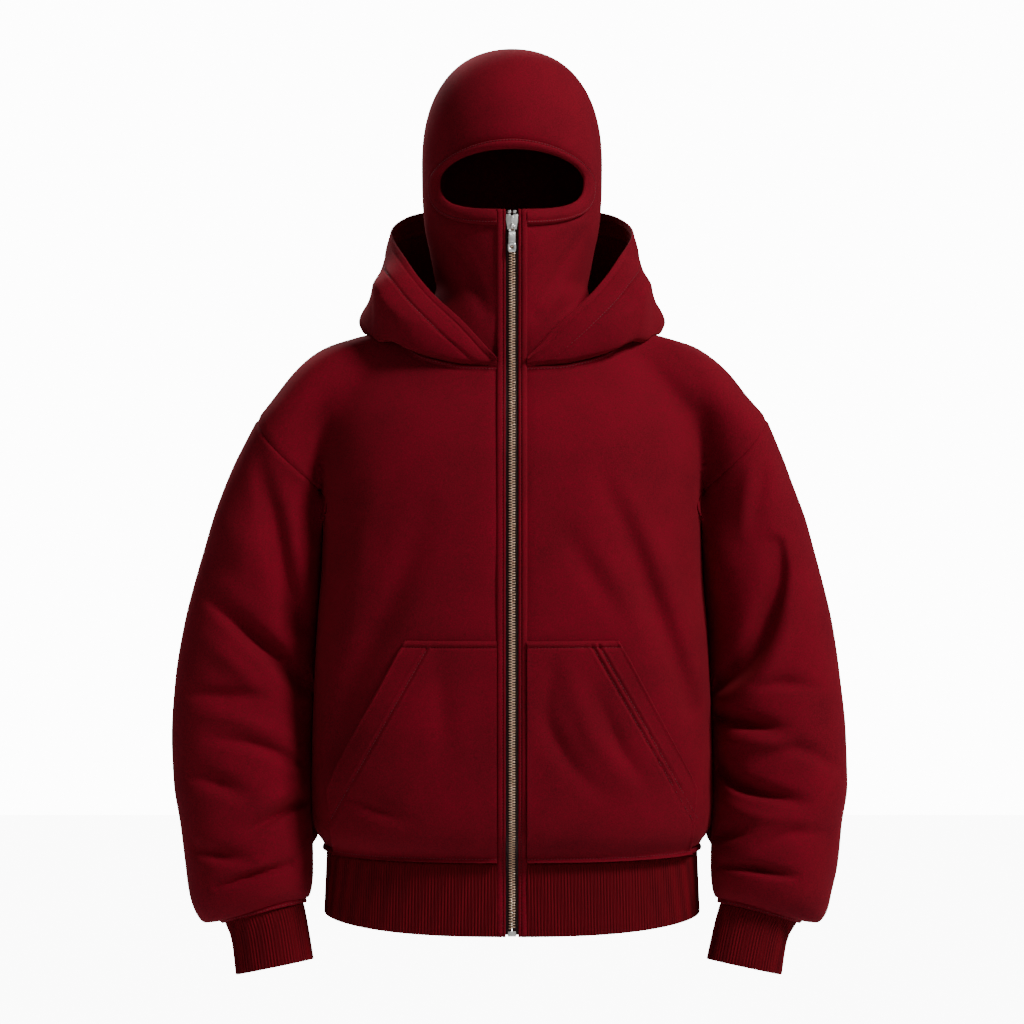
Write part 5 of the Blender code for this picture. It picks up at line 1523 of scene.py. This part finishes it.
def centre_line(z):
    """How far forward the cloth's face is at the zip, from the mask's lip to the hem."""
    z = np.asarray(z, float)
    places = [row.height for row in MASK[::-1]] + [0, NECK_FRONT]
    fronts = [row.front for row in MASK[::-1]] + [112, 111]
    order = np.argsort(places)
    above = smooth_curve(np.array(places)[order], np.array(fronts)[order], z)
    body = torso_depth(0, np.maximum(z, HEM_SEAM), "front")
    hem = smooth_curve([HEM_SEAM, -590, HEM_BOTTOM], [121, 117.5, 118.5], z)
    return np.where(z > NECK_FRONT, above, np.where(z > HEM_SEAM, body, hem))


# The placket's section: across from the centre, and how far it stands out from the cloth's face
PLACKET_GROOVE = 9.55
PLACKET = [
    (6.6, -2.2), (6.6, -0.6), (6.8, 0.3), (7.3, 0.95), (8.0, 1.05), (8.7, 0.8), (9.2, 0.1),
    (PLACKET_GROOVE, -0.25), (9.9, 0.1), (10.4, 0.9), (11.2, 1.35), (12.6, 1.5), (14.0, 1.35),
    (15.0, 0.9), (15.6, 0.2), (15.95, -0.7), (PLACKET_OUTER, -2.2),
]
placket_heights = np.concatenate(
    [np.linspace(LIP_TOP - 0.2, NECK_FRONT, 40), np.linspace(-53, HEM_BOTTOM + 0.3, 120)]
)


def down_the_front(heights, across, proud):
    """Points beside the zip at heights, across from the centre and proud of the cloth's face."""
    y = -centre_line(heights)
    slope = np.gradient(y, heights)
    normal = unit(np.stack([-np.ones_like(heights), slope], -1))
    tip = normal[:, 1] * (np.abs(heights - LIP_TOP) > 1) * (np.abs(heights - HEM_BOTTOM) > 1)
    return np.stack([across + 0 * heights, y + normal[:, 0] * proud, heights + tip * proud], -1)


def front_strip(name, node, section, heights, material, slot, sign):
    """A strip down the front with a given section, closed at both ends."""
    points = np.stack([down_the_front(heights, sign * x, out) for x, out in section], 1)
    bm = lay_grid(points, True)
    bmesh.ops.remove_doubles(bm, verts=bm.verts, dist=1e-6)
    ends = [e for e in bm.edges if e.is_boundary]
    bmesh.ops.holes_fill(bm, edges=ends, sides=0)
    bmesh.ops.recalc_face_normals(bm, faces=bm.faces)
    piece = show(name, bm, material)
    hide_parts(node)
    return piece


for side, sign in SIDES.items():
    names = side + "_zip_placket", "placket_" + side
    piece = front_strip(*names, PLACKET, placket_heights, fleece, "fleece", sign)
    line = down_the_front(placket_heights[2:-2], sign * PLACKET_GROOVE, -0.1)
    facing = np.tile([0.0, -1.0, 0.0], (len(line), 1))
    sew(side + "_placket_stitches", [(line, facing)])

# ================================================================ zip tapes
# Woven tape carries the teeth, with a corded edge under them.

TAPE = [
    (0.3, -3.7), (0.3, -2.9), (3.3, -2.7), (3.7, -2.0), (4.6, -2.0), (5.2, -2.5), (7.0, -2.7),
    (13.5, -2.7), (13.5, -3.7), (4.6, -3.7),
]


def tape_material(name, dark, light):
    """A tight woven tape with a fine herringbone."""
    made, wire = new_material(name)
    body = wire.make("ShaderNodeTexCoord", outlet="Object")
    across, down = body.part("X") * (1 / 0.0009), body.part("Z") * (1 / 0.0006)
    lean = (across.rest() - 0.5).size()
    weave = ((down + lean * 2) * (2 * pi)).sine() * 0.5 + 0.5
    values = {
        "Base Color": weave.between(dark, light),
        "Roughness": 0.62 + weave * 0.15,
        "Normal": weave.bump(0.5, 0.0001),
        "Sheen Weight": 0.15,
    }
    return surface(made, wire, values)


zip_tape = tape_material("zip_tape_weave", colour(26, 1, 5), colour(62, 4, 13))
tape_heights = np.linspace(LIP_TOP - 2.2, HEM_BOTTOM + 2.2, 160)
for side, sign in SIDES.items():
    names = side + "_zip_tape", "zip_tape_" + side
    piece = front_strip(*names, TAPE, tape_heights, zip_tape, "zip_tape", sign)

# ================================================================ zip teeth
# Pale brass teeth are clamped to the tapes in turn, left and right, with a rounded head that
# reaches just past the middle.

TOOTH_PITCH = 2.8
TOOTH = (3.7, 2.7, 1.25)
TOOTH_REACH = 1.55  # how far a tooth's middle lies from the zip's
CHAIN_TOP, CHAIN_BOTTOM = 97.0, HEM_BOTTOM + 7.5


def metal(name, dark, light, roughness):
    """Plated metal that is a little worn: a slightly uneven colour and fine brushed marks."""
    made, wire = new_material(name)
    body = wire.make("ShaderNodeTexCoord", outlet="Object")
    wear, marks = body.noise(240.0, 3.0), body.noise(900.0)
    values = {
        "Base Color": wear.between(dark, light),
        "Roughness": roughness + wear * 0.14,
        "Normal": marks.bump(0.12, 0.00004),
        "Metallic": 1.0,
    }
    return surface(made, wire, values)


tooth_metal = metal("pale_brass", colour(214, 172, 142), colour(250, 222, 196), 0.26)
tooth_bm = bmesh.new()
bmesh.ops.create_cube(tooth_bm, size=1)
bmesh.ops.scale(tooth_bm, vec=TOOTH, verts=tooth_bm.verts)
bmesh.ops.translate(tooth_bm, vec=(TOOTH_REACH, 0, 0), verts=tooth_bm.verts)
bmesh.ops.bevel(
    tooth_bm, geom=tooth_bm.edges[:], affect="EDGES", offset=0.34, segments=1, profile=0.5, material=-1
)
tooth_mesh = bpy.data.meshes.new("one_tooth")
tooth_bm.to_mesh(tooth_mesh)
tooth_bm.free()

chain_bm = bmesh.new()
for i in range(int((CHAIN_TOP - CHAIN_BOTTOM) / (TOOTH_PITCH / 2))):
    height = CHAIN_TOP - i * TOOTH_PITCH / 2
    turn = 1 if i % 2 else -1
    first = len(chain_bm.verts)
    chain_bm.from_mesh(tooth_mesh)
    chain_bm.verts.ensure_lookup_table()
    y = -float(centre_line(height)) + 0.5
    for vert in chain_bm.verts[first:]:
        x, forward, up = vert.co
        vert.co = (x * turn * MM, (forward + y) * MM, (up * turn + height) * MM)
bmesh.ops.recalc_face_normals(chain_bm, faces=chain_bm.faces)
chain = show("zip_teeth", chain_bm, tooth_metal)
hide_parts("zip_chain")
bpy.data.meshes.remove(tooth_mesh)

# ================================================================ zip ends
# Nickel stops are pressed on to the tape above the slider and below the teeth.

nickel = metal("nickel", colour(226, 224, 220), colour(252, 250, 246), 0.3)


def soft_block(bm, low, high, radius, segments=2):
    """A box between two corners with rounded edges."""
    made = bmesh.ops.create_cube(bm, size=1)["verts"]
    low, high = np.array(low, float), np.array(high, float)
    bmesh.ops.scale(bm, vec=high - low, verts=made)
    bmesh.ops.translate(bm, vec=(low + high) / 2, verts=made)
    edges = list({edge for vert in made for edge in vert.link_edges})
    bmesh.ops.bevel(
        bm, geom=edges, affect="EDGES", offset=radius, segments=segments, profile=0.5, material=-1
    )


def in_nickel(name, bm, node, body="root"):
    """Makes a bmesh in millimetres a nickel piece that stands for a CAD node."""
    bmesh.ops.scale(bm, vec=(MM, MM, MM), verts=bm.verts)
    bmesh.ops.recalc_face_normals(bm, faces=bm.faces)
    piece = show(name, bm, nickel, body)
    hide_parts(node)


SLIDER_TOP, SLIDER_BOTTOM = 111.5, 95.5
box_bottom = HEM_BOTTOM + 0.6
y = -float(centre_line(box_bottom))
bm = bmesh.new()
soft_block(bm, (-4.4, y + 0.2, box_bottom), (4.4, y + 2.3, box_bottom + 5.5), 0.5)
in_nickel("bottom_stop", bm, "zip_bottom_stop")
for side, sign in SIDES.items():
    z = SLIDER_TOP + 0.8
    y = -float(centre_line(z))
    low, high = sorted((sign * 1.0, sign * 4.4))
    bm = bmesh.new()
    soft_block(bm, (low, y + 0.4, z), (high, y + 2.3, z + 3.6), 0.45)
    in_nickel(side + "_top_stop", bm, "zip_top_stop_" + side)

# ================================================================ slider and pull
# The cast slider has a front and a back plate on a neck, and a bail that carries the pull tab.
# The tab is a flat nickel link with a window over the bail, a hole at its end and fine ridges.

PLATE = 1.6
HINGE_HEIGHT = 99.0
BAIL_MIDDLE, BAIL_HALF, BAIL_WIDTH = 2.2, 0.62, 1.7
y = -float(centre_line((SLIDER_TOP + SLIDER_BOTTOM) / 2))
front = y - 1.4
hinge_y = front - PLATE
right_side = [(2.2, SLIDER_TOP), (6.3, SLIDER_TOP), (6.3, SLIDER_TOP - 6), (4.9, SLIDER_BOTTOM)]
outline = [(-x, z) for x, z in right_side[1:]] + right_side[::-1]
outline += [(0, SLIDER_TOP - 1.9), (-right_side[0][0], SLIDER_TOP)]
bm = bmesh.new()
for back, thick in ((front, PLATE), (y + 4.4, 1.5)):
    face = bm.faces.new([bm.verts.new((x, back, z)) for x, z in outline])
    made = bmesh.ops.extrude_face_region(bm, geom=[face])["geom"]
    moved = [v for v in made if isinstance(v, bmesh.types.BMVert)]
    bmesh.ops.translate(bm, vec=(0, thick, 0), verts=moved)
bmesh.ops.bevel(
    bm, geom=bm.edges[:], affect="EDGES", offset=0.42, segments=2, profile=0.5, material=-1
)
soft_block(bm, (-1.8, front + 1, SLIDER_TOP - 5.5), (1.8, y + 4.7, SLIDER_TOP - 2.2), 0.3)
bridge = (-BAIL_WIDTH, front - 0.75, HINGE_HEIGHT + 2.6), (BAIL_WIDTH, front + 0.5, SLIDER_TOP - 1.6)
soft_block(bm, *bridge, 0.55)
bail = bmesh.new()
made = bmesh.ops.create_circle(bail, segments=12, radius=BAIL_HALF)["verts"]
bmesh.ops.scale(bail, vec=(BAIL_WIDTH / BAIL_HALF, 1, 1), verts=made)
bmesh.ops.rotate(bail, cent=(0, 0, 0), matrix=Matrix.Rotation(radians(90), 3, "X"), verts=made)
bmesh.ops.translate(bail, vec=(0, hinge_y + PLATE, HINGE_HEIGHT + BAIL_MIDDLE), verts=made)
ring = bmesh.ops.extrude_edge_only(bail, edges=bail.edges[:])
moved = [v for v in ring["geom"] if isinstance(v, bmesh.types.BMVert)]
bmesh.ops.translate(bail, vec=(0, -PLATE, 0), verts=moved)
last_edges = [e for e in bail.edges if all(v in moved for v in e.verts)]
bmesh.ops.spin(
    bail, geom=last_edges, cent=(0, hinge_y, HINGE_HEIGHT), axis=(1, 0, 0), dvec=(0, 0, 0),
    angle=radians(180), steps=14,
)
tail = [e for e in bail.edges if e.is_boundary and all(v.co.z < HINGE_HEIGHT for v in e.verts)]
ring = bmesh.ops.extrude_edge_only(bail, edges=tail)
moved = [v for v in ring["geom"] if isinstance(v, bmesh.types.BMVert)]
bmesh.ops.translate(bail, vec=(0, PLATE, 0), verts=moved)
bail_mesh = bpy.data.meshes.new("bail")
bail.to_mesh(bail_mesh)
bail.free()
bm.from_mesh(bail_mesh)
bpy.data.meshes.remove(bail_mesh)
in_nickel("slider", bm, "zip_slider")


def ring_plate(bm, outer, inner, half):
    """A flat plate with a hole: two matching outlines, given thickness."""
    sides = []
    for y_side in (-half, half):
        outside = [bm.verts.new((x, y_side, z)) for x, z in outer]
        inside = [bm.verts.new((x, y_side, z)) for x, z in inner]
        sides.append((outside, inside))
        for i in range(len(outer)):
            k = (i + 1) % len(outer)
            bm.faces.new((outside[i], outside[k], inside[k], inside[i]))
    for first, second in zip(*sides):
        for i in range(len(first)):
            k = (i + 1) % len(first)
            bm.faces.new((first[i], first[k], second[k], second[i]))


def rounded(half_width, low, high, power, steps=28):
    """A rounded outline between two heights."""
    middle, half = (low + high) / 2, (high - low) / 2
    outline = []
    for i in range(steps):
        a = 2 * pi * (i + 0.5) / steps
        x = half_width * np.sign(cos(a)) * abs(cos(a)) ** (2 / power)
        z = middle + half * np.sign(sin(a)) * abs(sin(a)) ** (2 / power)
        outline.append((x, z))
    return outline


def is_rim(edge):
    """Whether an edge runs round a face of the plate."""
    level = abs(edge.verts[0].co.y - edge.verts[1].co.y) < 1e-6
    return level and edge.calc_face_angle(0) > 1


PULL_HALF = 0.8  # half of the tab's thickness
RIDGE_HALF = 0.32
bm = bmesh.new()
ring_plate(bm, rounded(3.3, -6.8, 0.85, 4.5), rounded(2.2, -5.2, -0.75, 4.5), PULL_HALF)
ring_plate(bm, rounded(4.3, -27.5, -17.6, 4.5), rounded(1.9, -24.0, -20.4, 2.4), PULL_HALF)
rims = [edge for edge in bm.edges if is_rim(edge)]
bmesh.ops.bevel(bm, geom=rims, affect="EDGES", offset=0.28, segments=2, profile=0.5, material=-1)
soft_block(bm, (-3.6, 0.05 - PULL_HALF, -18.2), (3.6, PULL_HALF - 0.05, -6.2), 0.3)
for x in (-2.4, -1.2, 0.0, 1.2, 2.4):
    low, high = (x - RIDGE_HALF, -PULL_HALF - 0.12, -17.0), (x + RIDGE_HALF, PULL_HALF + 0.12, -7.2)
    soft_block(bm, low, high, 0.2, 1)
bmesh.ops.translate(bm, vec=(0, hinge_y, HINGE_HEIGHT), verts=bm.verts)
in_nickel("pull_tab", bm, "zip_pull", "pull")
